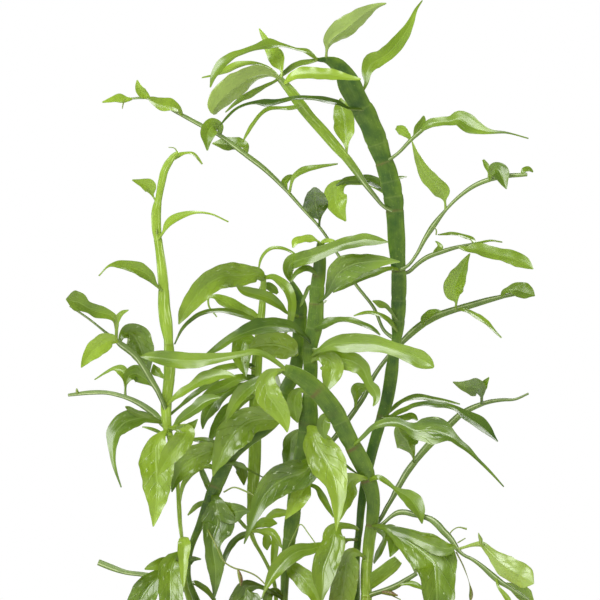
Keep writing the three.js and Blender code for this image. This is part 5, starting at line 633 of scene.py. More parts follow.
BACK_STEM = {
    "name": "stem_back",
    "line": [
        [-9, 86, 24, 5], [-9, 118, 24, 5], [-9, 134, 24, 3.8], [-9, 150, 24, 2.8], [-10.5, 163, 24, 2.6],
        [-14, 172, 24.5, 2.4], [-19, 181.5, 26, 2.4], [-23, 188.5, 27, 2.8], [-25.4, 195, 27, 3.6],
        [-25.6, 204, 26, 5.4], [-24.6, 213, 25, 6.6], [-24.2, 221, 25, 7.6], [-23.7, 230, 25, 8.2],
        [-23, 241, 25, 8.3], [-22.7, 255, 25.5, 8.2], [-22.8, 272, 26, 8], [-22.2, 290, 26.5, 7.6],
        [-21.5, 305, 27, 7], [-20, 322, 27.5, 6], [-18.2, 340, 29, 4.8], [-17, 362, 31, 3.5],
    ],
    "leaves": [
        leaf([-22.2, 296], [[-28, 295.5, 4], [-34, 294.5, 6], [-40, 291.5, 7], [-46, 288.5, 7],
            [-52, 286, 5], [-57, 283.5, 0.8]], [22, 12, 4], -30, 0.4),
        leaf([-22.3, 292], [[-30, 290.5, 3.5], [-37, 288, 5], [-44, 284, 7], [-49.5, 278.5, 10],
            [-53.5, 272.5, 8], [-55.8, 267, 4.5], [-56.7, 262, 0.8]], [24, 18, 8], -20, 0.35),
        leaf([-22.4, 284], [[-29, 281, 4], [-36, 277, 8], [-42, 271, 10], [-47, 264, 8], [-51, 257, 4],
            [-53, 252, 0.8]], [22, 16, 8], 0, 0.5),
        leaf([-21.8, 303], [[-30, 304, 3], [-38, 302.5, 4.5], [-46, 301, 4], [-52, 299, 2.5],
            [-58, 297, 0.8]], [26, 18], -40),
        leaf([-21, 312], [[-24.5, 319, 6], [-29, 319.5, 12], [-31.2, 313.5, 14], [-31, 306.5, 11],
            [-29.5, 300, 5], [-28.5, 296, 0.8]], [24, 20, 16], 0),
        leaf([-19.5, 332], [[-27, 334.5, 3], [-35, 337.3, 3.6], [-43, 338.8, 3.4], [-51, 338.6, 3],
            [-58, 336.8, 2.6], [-64, 333, 2.4], [-69.5, 327.5, 2.2], [-75, 317, 0.8]],
            [26, 20, 12, 4], -45),
        leaf([-19.3, 333.5], [[-26, 336.5, 7], [-32, 339, 8], [-38, 342.3, 8], [-44, 345.3, 7],
            [-49, 348, 3], [-52.7, 347.5, 1.5], [-53, 343, 1.2], [-47.5, 334.8, 0.8]],
            [29, 33, 36], -30, 0.6),
        leaf([-17.3, 358], [[-20, 362, 8], [-26, 362.5, 12], [-33, 362, 15.5], [-40, 362, 16],
            [-47, 360, 15.5], [-54.5, 355, 14.5], [-60.5, 349, 13], [-65.5, 342.5, 10.5], [-69.3, 336.5, 7],
            [-72.3, 330, 0.8]], [26, 16, 4, -4, -8], 0, 0.7),
        leaf([-17.3, 360], [[-12, 361, 3.5], [-6.5, 358.2, 5.5], [-1.3, 352, 6.5], [1.2, 345, 6],
            [1, 337.5, 4.8], [-0.5, 330.5, 3.6], [-4, 321.5, 0.8]], [26, 12, 6, 9.5], 20, 0.6),
        leaf([-17.8, 350], [[-18.5, 353.5, 3], [-15, 355, 5], [-10.5, 352.5, 5], [-8, 350, 2]],
            [34, 38], 0),
        leaf([-25.5, 197], [[-21, 199.5, 4], [-17, 201, 6.5], [-12.5, 201.2, 6], [-8.3, 200.6, 0.8]],
            [29, 30], 20, 0.9),
        leaf([-25.4, 195], [[-21, 195.6, 2], [-16.5, 196, 3.4], [-12, 195, 5], [-9, 191.5, 4.6],
            [-7, 187.8, 3.4], [-5, 184.5, 0.8]], [22, 16, 12], 0, 0.85),
        leaf([-25.4, 195], [[-20, 195, 1.6], [-16, 193.5, 3.5], [-15, 190, 5.8], [-15.2, 186.5, 5],
            [-14.8, 183.2, 0.8]], [31, 34], 0, 0.9),
        leaf([-25.4, 195.5], [[-19, 196.5, 1.6], [-13, 195, 2.4], [-10, 191, 4], [-9.8, 186.5, 5],
            [-10.3, 181, 4.6], [-10.8, 175.5, 3.4], [-11.6, 166, 0.8]], [22, 19, 18], 0, 0.9),
        leaf([-25.4, 195], [[-30, 193.3, 4], [-35, 190.3, 4.2], [-39, 185.5, 4.2], [-41.8, 180, 3.6],
            [-43.2, 175, 2.6], [-44, 170.5, 0.8]], [24, 18, 16], 0),
        leaf([-25.6, 196], [[-29, 198.3, 2.4], [-32, 201.6, 2.4], [-35.5, 205.5, 2], [-38, 208, 0.8]],
            [26, 24], 0),
        leaf([-22.8, 270], [[-22.5, 274, 2.2], [-22, 278, 3.6], [-23, 277, 4], [-22.5, 271, 2.5],
            [-22, 262, 0.8]], [38, 66, 92], 85),
        leaf([-24, 225], [[-24.5, 229, 2.2], [-25, 233, 3.2], [-25, 232, 3.6], [-24.5, 226, 2.2],
            [-24, 218, 0.8]], [34, 62, 86], 85),
        leaf([-18, 345], [[-18, 350, 2.2], [-18, 355, 3.2], [-18, 355, 3.6], [-18, 349, 2.2],
            [-18, 341, 0.8]], [42, 70, 94], 85),
    ],
    "branches": [],
}

# Each stem's piece names, material slot and the tone of its ribbon, its side branches and its leaves
STEMS = [
    ("tall", TALL_STEM, "foliage_deep", 0.06, 0.32, 0.50),
    ("arching", ARCHING_STEM, "foliage_deep", 0.14, 0.24, 0.42),
    ("middle", MIDDLE_STEM, "foliage_deep", 0.14, 0.25, 0.42),
    ("sweeping", SWEEPING_STEM, "foliage_deep", 0.10, 0.30, 0.38),
    ("left", LEFT_STEM, "foliage_light", 0.62, 0.3, 0.42),
    ("back", BACK_STEM, "foliage_light", 0.56, 0.5, 0.40),
]

# The tone of each stem's ribbon down at the soil
FOOT_TONES = {"tall": 0.1, "arching": 0.6, "middle": 0.2, "sweeping": 0.15, "left": 0.4, "back": 0.45}

# Thin stalks, stipules and dried buds: points of x, z, depth and width, and how dry they are
STALKS = {
    "tall": [
        ([[43, 190, 8, 1.2], [38, 189.5, 4, 1], [34, 185.5, 2, 0.9]], 0.7),
        ([[95, 388.2, -10, 1], [95, 391.5, -12, 0.9], [93.5, 393.5, -13, 0.6]], 0.2),
    ],
    "arching": [
        ([[108, 186, -27, 1.1], [104, 194, -22, 0.9], [109, 198, -20, 0.8], [115, 197, -20, 1.5]], 0.2),
        ([[109, 188, -27, 1], [114, 191, -24, 0.7]], 0.2),
        ([[108, 182, -28, 1.1], [113, 172, -22, 0.9], [117, 160, -20, 0.9], [117.6, 157, -20, 2],
          [117.6, 153, -20, 2.6], [117.2, 150, -20, 0.8]], 0.6),
        ([[61, 157, -5, 1.2], [66, 154, -8, 1], [72, 151, -10, 0.8]], 0.4),
        ([[124, 187, -40, 1.6], [124, 190, -41, 2.6], [123, 192.5, -42, 1.6],
          [122.5, 194.5, -42, 0.5]], 0.1),
        ([[60, 155.8, -6, 2.4], [66, 155, -9, 3.2], [70, 153.7, -11, 1]], 1.0),
    ],
    "middle": [
        ([[-3, 180, 3, 1.2], [3, 194, -6, 0.9], [7, 200, -9, 0.8], [12, 194, -11, 0.8],
          [17, 187, -12, 0.7]], 0.1),
    ],
    "sweeping": [
        ([[-43, 221, -5, 1.1], [-36, 224, -10, 1], [-30, 222, -12, 1.2], [-25, 219.5, -12, 1],
          [-20, 216, -12, 0.8]], 0.3),
        ([[-57, 204, -1, 1.2], [-48, 186, -30, 1], [-42, 175, -32, 1], [-36, 171.5, -33, 1.1],
          [-30, 170, -33, 1.1], [-22, 166.5, -33, 1], [-16, 161, -33, 0.8]], 0.5),
        ([[-34, 170.8, -33, 1], [-33, 168, -34, 2.4], [-32, 164, -34, 2.8], [-32, 160, -34, 1]], 1.0),
    ],
    "left": [
        ([[-73, 441.5, -26, 1], [-75, 444.5, -26, 0.8], [-79, 445, -26, 0.5]], 0.1),
        ([[-138, 284.7, 5, 1.6], [-138.4, 286.6, 4, 2], [-138.6, 288.4, 3, 0.6]], 0.3),
        ([[-107, 476.8, 40, 0.6], [-108.5, 473, 40, 0.9], [-109, 470, 40, 0.5]], 0.4),
        ([[-84.6, 386, -20, 1], [-86.6, 389.5, -22, 1.8], [-86.4, 392, -23, 0.6]], 0.2),
    ],
    "back": [
        ([[-23, 300, 24, 1.2], [-27.5, 303, 20, 0.9], [-29.5, 306, 18, 0.6]], 0.4),
    ],
}

# Reddish scars where leaves have stood: x, z and how strong
SCARS = {
    "tall": [[70, 365, 0.7], [68.2, 404, 0.6], [61, 435, 0.5], [45, 171, 0.9], [60, 270, 0.5]],
    "arching": [[20, 288, 0.9], [26, 271, 0.8], [44, 251, 0.9], [50, 228, 0.9], [54, 199, 0.7]],
    "middle": [[18, 362, 0.5], [17, 343, 0.4], [12, 264, 0.6]],
    "sweeping": [[-48, 224, 0.5], [-36, 247, 0.5], [7, 335, 0.4]],
    "left": [[-80, 263, 0.4], [-78.5, 317, 0.2]],
    "back": [[-22.5, 270, 0.3]],
}


def colour(red, green, blue):
    """A colour given from 0 to 255 as the screen shows it, made linear, with a full alpha."""
    def straight(level):
        share = level / 255
        return share / 12.92 if share <= 0.04045 else ((share + 0.055) / 1.055) ** 2.4
    return (straight(red), straight(green), straight(blue), 1.0)


def colour_setting(name, description, default):
    return bpy.props.FloatVectorProperty(
        name=name, description=description, default=default, size=4, min=0, max=1, subtype="COLOR")


class RibbonPlantSettings(bpy.types.PropertyGroup):
    """Sizes and colours of the plant"""
    blade_thickness: bpy.props.FloatProperty(
        name="Blade thickness", description="Thickness of a leaf between its veins", default=0.45 * MM,
        min=0.2 * MM, max=1.0 * MM, subtype="DISTANCE", unit="LENGTH")
    blade_fold: bpy.props.FloatProperty(
        name="Blade fold", description="How far the halves of a leaf rise from its midrib",
        default=math.radians(15), min=0, max=math.radians(40), subtype="ANGLE", unit="ROTATION")
    edge_wave: bpy.props.FloatProperty(
        name="Edge wave", description="Wave of a leaf's edge as a share of its half width",
        default=0.13, min=0, max=0.4, subtype="FACTOR")
    vein_depth: bpy.props.FloatProperty(
        name="Vein depth", description="Depth of the veins as a share of the half width",
        default=0.045, min=0, max=0.2, subtype="FACTOR")
    old_green: colour_setting("Old leaf", "Colour of the darkest leaves", colour(48, 82, 10))
    full_green: colour_setting("Grown leaf", "Colour of most leaves", colour(120, 149, 34))
    young_green: colour_setting("Young leaf", "Colour of the youngest leaves", colour(158, 186, 56))
    under_green: colour_setting("Underside", "Colour of the leaves' undersides", colour(162, 182, 98))


class ClayPotSettings(bpy.types.PropertyGroup):
    """Colours of the pot and the soil"""
    clay: colour_setting("Clay", "Colour of the fired clay", colour(196, 112, 72))
    bloom: colour_setting("Lime bloom", "Colour of the pale bloom on the clay", colour(222, 200, 182))
    soil: colour_setting("Soil", "Colour of the damp potting soil", colour(58, 42, 30))


class StudioSettings(bpy.types.PropertyGroup):
    """Floor, lights and camera"""
    floor: colour_setting("Floor", "Colour of the floor", (0.84, 0.84, 0.83, 1.0))
    key_power: bpy.props.FloatProperty(
        name="Key light", description="Power of the light over the front left", default=60.0,
        min=0, max=500, unit="POWER")
    back_power: bpy.props.FloatProperty(
        name="Back light", description="Power of the light behind and above", default=70.0,
        min=0, max=500, unit="POWER")
    lens: bpy.props.FloatProperty(
        name="Lens", description="Focal length of the camera", default=230.8,
        min=50, max=400, unit="CAMERA")


def deselect_all():
    if bpy.context.object and bpy.context.object.mode != "OBJECT":
        bpy.ops.object.mode_set(mode="OBJECT")
    bpy.ops.object.select_all(action="DESELECT")


def take_up(*pieces):
    """Selects these objects alone and makes the first one active."""
    deselect_all()
    for piece in pieces:
        piece.select_set(True)
    bpy.context.view_layer.objects.active = pieces[0]


def pick(piece, wanted):
    """In edit mode, selects the vertices whose place passes wanted, and what lies between them."""
    bpy.ops.mesh.select_all(action="DESELECT")
    mesh = bmesh.from_edit_mesh(piece.data)
    for vertex in mesh.verts:
        vertex.select = wanted(vertex.co)
    mesh.select_flush_mode()
    bmesh.update_edit_mesh(piece.data)


def settle(piece, material, slot, *nodes, smooth=50):
    """Finishes a piece: its place goes into its mesh, it gets its material, and its nodes are hidden. slot
    is not used.
    """
    take_up(piece)
    bpy.ops.object.transform_apply(location=True, rotation=True, scale=True)
    bpy.ops.object.shade_smooth_by_angle(angle=math.radians(smooth))
    piece.data.materials.clear()
    piece.data.materials.append(material)
    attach(piece, BODY)
    if nodes:
        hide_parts(*nodes)
    return piece


def joined(name, parts):
    """These mesh objects as one, under the name."""
    take_up(*parts)
    if len(parts) > 1:
        bpy.ops.object.join()
    piece = bpy.context.object
    piece.name = piece.data.name = name
    return piece


def outwards(piece):
    take_up(piece)
    bpy.ops.object.mode_set(mode="EDIT")
    bpy.ops.mesh.select_all(action="SELECT")
    bpy.ops.mesh.normals_make_consistent(inside=False)
    bpy.ops.object.mode_set(mode="OBJECT")


def turned(name, rings, sides):
    """A closed round body through rings of radius and height in millimetres, extruded from a disc."""
    deselect_all()
    radius, height = rings[0]
    bpy.ops.mesh.primitive_circle_add(
        vertices=sides, radius=radius * MM, fill_type="NGON", location=(0, 0, height * MM))
    piece = bpy.context.object
    bpy.ops.object.transform_apply(location=True)
    bpy.ops.object.mode_set(mode="EDIT")
    bpy.ops.mesh.select_all(action="SELECT")
    for next_radius, next_height in rings[1:]:
        rise = (next_height - height) * MM
        bpy.ops.mesh.extrude_region_move(TRANSFORM_OT_translate={"value": (0, 0, rise)})
        scale = next_radius / radius
        bpy.ops.transform.resize(value=(scale, scale, 1), center_override=(0, 0, next_height * MM))
        radius, height = next_radius, next_height
    bpy.ops.object.mode_set(mode="OBJECT")
    piece.name = piece.data.name = name
    return piece


def cut_round_holes(piece, holes, low, high):
    """Cuts upright round holes, each x, y and radius, through a piece between two heights."""
    drills = []
    for x, y, radius in holes:
        bpy.ops.mesh.primitive_cylinder_add(
            vertices=24, radius=radius * MM, depth=(high - low) * MM,
            location=(x * MM, y * MM, (low + high) / 2 * MM))
        drills.append(bpy.context.object)
    drill = joined("drill", drills)
    cut = piece.modifiers.new("holes", "BOOLEAN")
    cut.operation = "DIFFERENCE"
    cut.solver = "EXACT"
    cut.object = drill
    take_up(piece)
    bpy.ops.object.modifier_apply(modifier=cut.name)
    bpy.data.objects.remove(drill)


# Places along the stems and leaves


def spread_at(depth):
    """How much wider a thing at this depth is than it looks from the eye, next to one at depth 0."""
    return (depth - EYE_Y) / -EYE_Y


def place(x, z, depth):
    """Where x, z as seen from the front lies at this depth."""
    spread = spread_at(depth)
    return (EYE_X + (x - EYE_X) * spread, depth, EYE_Z + (z - EYE_Z) * spread)


def spread_over(values, share):
    """A value read off a short list whose entries are spread evenly from 0 to 1."""
    return float(np.interp(share, np.linspace(0, 1, len(values)), values))


def on_line(line, start):
    """x, z and depth on a stem's line nearest to x, z as seen from the front."""
    best = None
    for (ax, az, ay, _), (bx, bz, by, _) in zip(line, line[1:]):
        run = (bx - ax) ** 2 + (bz - az) ** 2
        share = min(1, max(0, ((start[0] - ax) * (bx - ax) + (start[1] - az) * (bz - az)) / run))
        foot = (ax + share * (bx - ax), az + share * (bz - az), ay + share * (by - ay))
        off = math.hypot(start[0] - foot[0], start[1] - foot[1])
        if best is None or off < best[0]:
            best = (off, foot)
    return best[1]


def lengths_of(rows):
    """How far along each row of x, y, z and more lies, in millimetres."""
    steps = np.linalg.norm(np.diff(rows[:, :3], axis=0), axis=1)
    return np.concatenate([[0], np.cumsum(np.maximum(steps, 1e-6))])


def smooth_rows(rows, reach, at):
    """Rows read off a smooth curve through the given rows at the lengths in at."""
    slopes = np.gradient(rows, reach, axis=0)
    below = np.clip(np.searchsorted(reach, at, side="right") - 1, 0, len(reach) - 2)
    step = (reach[below + 1] - reach[below])[:, None]
    share = (at - reach[below])[:, None] / step
    start, end = rows[below], rows[below + 1]
    bend = share * share * (3 - 2 * share)
    leave = share * (1 - share) ** 2 * step
    arrive = share * share * (share - 1) * step
    return start + (end - start) * bend + slopes[below] * leave + slopes[below + 1] * arrive


def frames_along(points, turn=0.0):
    """Across and out directions at each point, facing the front where the line allows, and then turned."""
    tangents = np.gradient(points, axis=0)
    tangents /= np.linalg.norm(tangents, axis=1)[:, None]
    facings = np.cross((0, 1, 0), tangents)
    lengths = np.linalg.norm(facings, axis=1)
    shares = smooth_step(lengths, LEAST_FACING, FULL_FACING)
    clear = np.flatnonzero(lengths > FULL_FACING)
    across = facings[clear[0]] if len(clear) else np.array([1.0, 0, 0])
    acrosses, outs = [], []
    for along, facing, share in zip(tangents, facings, shares):
        across = across - along * across.dot(along)
        across /= np.linalg.norm(across)
        facing = facing / max(np.linalg.norm(facing), 1e-6)
        side = -1 if facing.dot(across) < 0 else 1
        across = across * (1 - share) + facing * side * share
        across /= np.linalg.norm(across)
        out = np.cross(across, along)
        turned_across = across * math.cos(turn) + out * math.sin(turn)
        acrosses.append(turned_across)
        outs.append(np.cross(turned_across, along))
    return np.array(acrosses), np.array(outs)


def smooth_step(value, low, high):
    share = np.clip((value - low) / (high - low), 0, 1)
    return share * share * (3 - 2 * share)


def mark(mesh, name, values):
    """Keeps a number for each vertex, for the materials to read."""
    made = mesh.attributes.new(name, "FLOAT", "POINT")
    made.data.foreach_set("value", np.broadcast_to(values, len(mesh.vertices)).astype(np.float32))


def coordinates(mesh):
    places = np.empty(len(mesh.vertices) * 3)
    mesh.vertices.foreach_get("co", places)
    return places.reshape(-1, 3)


# Leaves


def master_blade(vein_depth):
    """One flat square blade, two units wide, with its veins pressed in, and its underside a unit below."""
    deselect_all()
    bpy.ops.mesh.primitive_grid_add(x_subdivisions=BLADE_COLUMNS, y_subdivisions=BLADE_ROWS, size=2)
    blade = bpy.context.object
    row = 2 / BLADE_ROWS
    bpy.ops.object.mode_set(mode="EDIT")
    pick(blade, lambda co: abs(co.x) < 1 / BLADE_COLUMNS)
    bpy.ops.transform.translate(value=(0, 0, -1.3 * vein_depth))
    for vein in range(SIDE_VEINS):
        foot = -0.82 + 1.55 * vein / SIDE_VEINS
        pick(blade, lambda co: abs(co.y - foot - 2 * VEIN_SLANT * abs(co.x)) < 0.6 * row
             and 0.1 < abs(co.x) < 0.93)
        bpy.ops.transform.translate(value=(0, 0, -vein_depth))
    bpy.ops.mesh.select_all(action="SELECT")
    bpy.ops.mesh.vertices_smooth(factor=0.4, repeat=1, xaxis=False, yaxis=False)
    bpy.ops.mesh.extrude_region_move(TRANSFORM_OT_translate={"value": (0, 0, -1)})
    bpy.ops.object.mode_set(mode="OBJECT")
    return blade


def leaf_rows(line, spec):
    """Rows of x, y, z and width from the stem's middle to the tip."""
    last = len(spec["points"]) - 1
    rows = [(*place(*on_line(line, spec["start"])), STALK_WIDTH)]
    for i, (x, z, width) in enumerate(spec["points"]):
        depth = spread_over(spec["depths"], i / last)
        rows.append((*place(x, z, depth), width * spread_at(depth)))
    return np.array(rows, dtype=float)


def shaped_leaf(blade, line, spec, tone, settings, rng):
    """A copy of the master blade, bent along its own line and waved at its edges."""
    mesh = blade.data.copy()
    places = coordinates(mesh)
    u = places[:, 0]
    v = (places[:, 1] + 1) / 2
    row = np.rint(v * BLADE_ROWS).astype(int)
    side = np.where(u < 0, 0, 1)
    is_under = places[:, 2] < -0.5
    relief = places[:, 2] + is_under
    rows = leaf_rows(line, spec)
    reach = lengths_of(rows)
    samples = smooth_rows(rows, reach, np.linspace(0, reach[-1], BLADE_ROWS + 1))
    turn = math.radians(spec["turn"])
    across, out = frames_along(samples[:, :3], turn)
    seen = np.maximum(samples[:, 3], LEAST_WIDTH)[row] / 2
    width = seen / max(abs(math.cos(turn)), LEAST_COSINE)
    stalk_end = reach[1] / reach[-1]
    blade_share = smooth_step(v, 0.4 * stalk_end, stalk_end + 0.06)
    phase = np.array([rng.uniform(0, 2 * math.pi) for _ in range(4)])
    size = min(1.0, reach[-1] / FULL_LENGTH)
    waves = rng.uniform(*EDGE_WAVES) * (0.5 + 0.5 * size)
    round_trip = 2 * math.pi * v
    wave = settings.edge_wave * np.sin(waves * round_trip + phase[side])
    crinkle = (YOUNG_CRINKLE if tone > YOUNG_TONE else CRINKLE) * size
    wave += crinkle * np.sin(CRINKLES_IN_WAVE * waves * round_trip + phase[side + 2])
    ragged = COARSE_NOTCH * np.sin(COARSE_NOTCHES * round_trip + phase[side + 2])
    ragged += FINE_NOTCH * np.sin(FINE_NOTCHES * size * round_trip + phase[side])
    where = u * width * (1 + ragged * blade_share)
    rise = math.tan(settings.blade_fold) * (np.abs(u) ** FOLD_CURVE - 0.5) + wave * np.abs(u) ** WAVE_CURVE
    grown = np.minimum(1.0, seen / FULL_HALF)
    lift = width * blade_share * rise + relief * np.minimum(width, DEEPEST_HALF) * grown ** 2 * blade_share
    thinning = (1 - THIN_EDGE * u ** 4) * (1 - THIN_TIP * smooth_step(v, THIN_TIP_FROM, 1.0))
    blade_half = settings.blade_thickness / MM / 2 * thinning
    stalk_half = STALK_THICKNESS / 2 * np.sqrt(1 - 0.9 * u ** 2)
    body = stalk_half + (blade_half - stalk_half) * blade_share
    rib_height = RIB_HEIGHTS[0] + (RIB_HEIGHTS[1] - RIB_HEIGHTS[0]) * v
    rib = rib_height * np.exp(-((where / RIB_HALF) ** 2)) * blade_share
    lift += np.where(is_under, -body - rib, body)
    bent = samples[row, :3] + across[row] * where[:, None] + out[row] * lift[:, None]
    mesh.vertices.foreach_set("co", (bent * MM).ravel())
    mark(mesh, "tone", tone)
    mark(mesh, "under", is_under * 1.0)
    mark(mesh, "grown", grown)
    piece = bpy.data.objects.new("leaf", mesh)
    bpy.context.collection.objects.link(piece)
    return piece


# Ribbons and stalks


def joint_places(part, reach, rows):
    """How far along a ribbon its joints lie: where its leaves and branches stand."""
    spots = []
    for each in (*part["leaves"], *part["branches"]):
        start = each["start"] if "start" in each else each["line"][0][:2]
        spot = np.array(place(*on_line(part["line"], start)))
        nearest = int(np.argmin(np.linalg.norm(rows[:, :3] - spot, axis=1)))
        before, after = max(nearest - 1, 0), min(nearest + 1, len(rows) - 1)
        fine = np.linspace(reach[before], reach[after], 40)
        off = np.linalg.norm(smooth_rows(rows, reach, fine)[:, :3] - spot, axis=1)
        spots.append(float(fine[int(np.argmin(off))]))
    kept = []
    for spot in sorted(spots):
        if not kept or spot - kept[-1] > JOINT_APART:
            kept.append(spot)
    return kept


def tube(stations, section, sides):
    """A closed tube from a rolled-up grid: section gives each station's ring as across and lift."""
    deselect_all()
    rows = len(stations["points"]) - 1
    bpy.ops.mesh.primitive_grid_add(x_subdivisions=sides, y_subdivisions=rows, size=2)
    piece = bpy.context.object
    mesh = piece.data
    places = coordinates(mesh)
    angle = (places[:, 0] + 1) * math.pi
    row = np.rint((places[:, 1] + 1) / 2 * rows).astype(int)
    where, lift = section(row, np.cos(angle), np.sin(angle))
    bent = (stations["points"][row] + stations["across"][row] * where[:, None]
            + stations["out"][row] * lift[:, None])
    mesh.vertices.foreach_set("co", (bent * MM).ravel())
    corner = np.empty(len(mesh.loops), dtype=int)
    mesh.loops.foreach_get("vertex_index", corner)
    layout = np.stack([np.cos(angle) * 0.5 + 0.5, stations["length"][row] / 100], axis=1)
    mesh.uv_layers[0].data.foreach_set("uv", layout[corner].ravel().astype(np.float32))
    for key in ("tone", "joint", "scar", "twig"):
        mark(mesh, key, stations[key][row])
    bpy.ops.object.mode_set(mode="EDIT")
    bpy.ops.mesh.select_all(action="SELECT")
    bpy.ops.mesh.remove_doubles(threshold=1e-7)
    bpy.ops.mesh.fill_holes(sides=0)
    bpy.ops.object.mode_set(mode="OBJECT")
    return piece


def ribbon(part, thickness, tone, foot_tone, scars=(), is_branch=False):
    """One flat jointed ribbon, with a raised midline, a ring at each joint and a round foot in the soil."""
    line = part["line"]
    rows = np.array([(*place(x, z, depth), width, z) for x, z, depth, width in line], dtype=float)
    reach = lengths_of(rows)
    joints = joint_places(part, reach, rows)
    count = max(4, int(reach[-1] / RIBBON_STEP))
    at = list(np.linspace(0, reach[-1], count))
    for joint in joints:
        at += [joint + step for step in JOINT_STEPS]
    at = np.unique(np.round(np.clip(at, 0, reach[-1]), 2))
    at = at[np.concatenate([[True], np.diff(at) > LEAST_STEP])]
    samples = smooth_rows(rows, reach, at)
    across, out = frames_along(samples[:, :3])
    ring = np.zeros(len(at))
    waist = np.zeros(len(at))
    for joint in joints:
        ring = np.maximum(ring, np.exp(-(((at - joint) / RING_HALF) ** 2)))
        waist = np.maximum(waist, np.exp(-(((at - joint - WAIST_AFTER) / WAIST_HALF) ** 2)))
    scar = np.zeros(len(at))
    for x, z, strength in scars:
        off = np.linalg.norm(samples[:, :3] - np.array(place(*on_line(line, (x, z)))), axis=1)
        scar = np.maximum(scar, strength * np.exp(-((off / SCAR_HALF) ** 2)))
    in_soil = line[0][1] == STEM_FOOT
    flat = smooth_step(samples[:, 4], FOOT_TOP, FLAT_FROM) if in_soil else np.ones(len(at))
    width = samples[:, 3]
    foot = np.minimum(FOOT_THICKNESS, width)
    middle = foot + (np.minimum(thickness, width) - foot) * flat
    half = width / 2 * (1 - WAIST_NARROWER * waist + RING_WIDER * ring)
    ridge = RIDGE_HEIGHT * flat * np.minimum(width / 10, 1)

    def section(row, cosine, sine):
        side = np.sign(np.round(sine, 6))
        round_lift = np.abs(sine) ** (1 - FULLER_SIDES * flat[row])
        lift = side * middle[row] / 2 * round_lift * (1 + RING_THICKER * ring[row])
        lift += side * ridge[row] * np.exp(-((cosine / RIDGE_SHARE) ** 2))
        return half[row] * cosine, lift

    tones = foot_tone + (tone - foot_tone) * smooth_step(samples[:, 4], *FOOT_SHADE)
    twig = is_branch * (1 - smooth_step(width, *TWIG_WIDTHS))
    if is_branch:
        tones += BROAD_LIGHTER * (1 - twig)
    stations = {
        "points": samples[:, :3], "across": across, "out": out, "length": at, "joint": ring, "scar": scar,
        "tone": tones, "twig": twig,
    }
    return tube(stations, section, RIBBON_COLUMNS)


def stalk(points, dryness):
    """A thin round stalk, bud or dry scale."""
    rows = np.array([(*place(x, z, depth), width) for x, z, depth, width in points], dtype=float)
    reach = lengths_of(rows)
    at = np.linspace(0, reach[-1], max(6, int(reach[-1] / STALK_STEP)))
    samples = smooth_rows(rows, reach, at)
    across, out = frames_along(samples[:, :3])
    half = np.maximum(samples[:, 3], LEAST_WIDTH) / 2

    def section(row, cosine, sine):
        return half[row] * cosine, half[row] * STALK_FLATNESS * sine

    stations = {
        "points": samples[:, :3], "across": across, "out": out, "length": at,
        "joint": np.zeros(len(at)), "scar": np.full(len(at), dryness),
        "tone": np.full(len(at), STALK_TONE), "twig": np.full(len(at), STALK_BARK),
    }
    return tube(stations, section, STALK_SIDES)


# Materials


class Shading:
    """Adds nodes to one material and links them, with a shorthand for the kinds used here."""

    def __init__(self, name):
        old = bpy.data.materials.get(name)
        if old:
            bpy.data.materials.remove(old)
        self.material = bpy.data.materials.new(name)
        self.material.use_nodes = True
        self.tree = self.material.node_tree
        self.tree.nodes.clear()
        self.output = self.tree.nodes.new("ShaderNodeOutputMaterial")
        self.coordinates = self.tree.nodes.new("ShaderNodeTexCoord").outputs

    def node(self, kind, inputs=(), **values):
        made = self.tree.nodes.new(kind)
        for key, value in values.items():
            setattr(made, key, value)
        for key, value in dict(inputs).items():
            if isinstance(value, bpy.types.NodeSocket):
                self.tree.links.new(value, made.inputs[key])
            else:
                made.inputs[key].default_value = value
        return made

    def math(self, operation, first, second=0.0, clamp=False):
        made = self.node("ShaderNodeMath", {0: first, 1: second}, operation=operation, use_clamp=clamp)
        return made.outputs[0]

    def times(self, first, second, clamp=False):
        return self.math("MULTIPLY", first, second, clamp)

    def drift(self, value, amount):
        """How far a value lies from its middle, 0.5, times the amount."""
        return self.times(self.math("SUBTRACT", value, 0.5), amount)

    def ranged(self, value, low, high, to_low=0.0, to_high=1.0):
        made = self.node("ShaderNodeMapRange", {
            "Value": value, "From Min": low, "From Max": high, "To Min": to_low, "To Max": to_high},
            interpolation_type="SMOOTHSTEP")
        return made.outputs["Result"]

    def mixed(self, share, first, second, blend="MIX"):
        made = self.node("ShaderNodeMix", {0: share, 6: first, 7: second},
                         data_type="RGBA", blend_type=blend)
        return made.outputs[2]

    def attribute(self, name):
        return self.node("ShaderNodeAttribute", attribute_name=name).outputs["Fac"]

    def split(self, source):
        """The three numbers of one kind of coordinate."""
        return self.node("ShaderNodeSeparateXYZ", {0: self.coordinates[source]}).outputs

    def place(self, scale=(1, 1, 1), source="Object"):
        inputs = {"Vector": self.coordinates[source], "Scale": scale}
        return self.node("ShaderNodeMapping", inputs).outputs["Vector"]

    def noise(self, scale, detail=3.0, roughness=0.55, vector=None):
        vector = vector or self.place()
        made = self.node("ShaderNodeTexNoise", {
            "Vector": vector, "Scale": scale, "Detail": detail, "Roughness": roughness})
        return made.outputs["Fac"]

    def ramp(self, value, stops):
        made = self.node("ShaderNodeValToRGB", {"Fac": value})
        ramp = made.color_ramp
        while len(ramp.elements) < len(stops):
            ramp.elements.new(0.5)
        for element, (position, shade) in zip(ramp.elements, stops):
            element.position = position
            element.color = shade
        return made.outputs["Color"]

    def bump(self, height, distance, strength=1.0, normal=None):
        inputs = {"Height": height, "Distance": distance, "Strength": strength}
        if normal is not None:
            inputs["Normal"] = normal
        return self.node("ShaderNodeBump", inputs).outputs["Normal"]

    def finish(self, surface):
        self.tree.links.new(surface, self.output.inputs["Surface"])
        return self.material


def foliage_shades(settings, value, shade):
    """Old, grown and young green along a tone."""
    greens = (settings.old_green, settings.full_green, settings.young_green)
    return shade.ramp(value, [(at, tuple(green)) for at, green in zip((0.0, 0.45, 1.0), greens)])


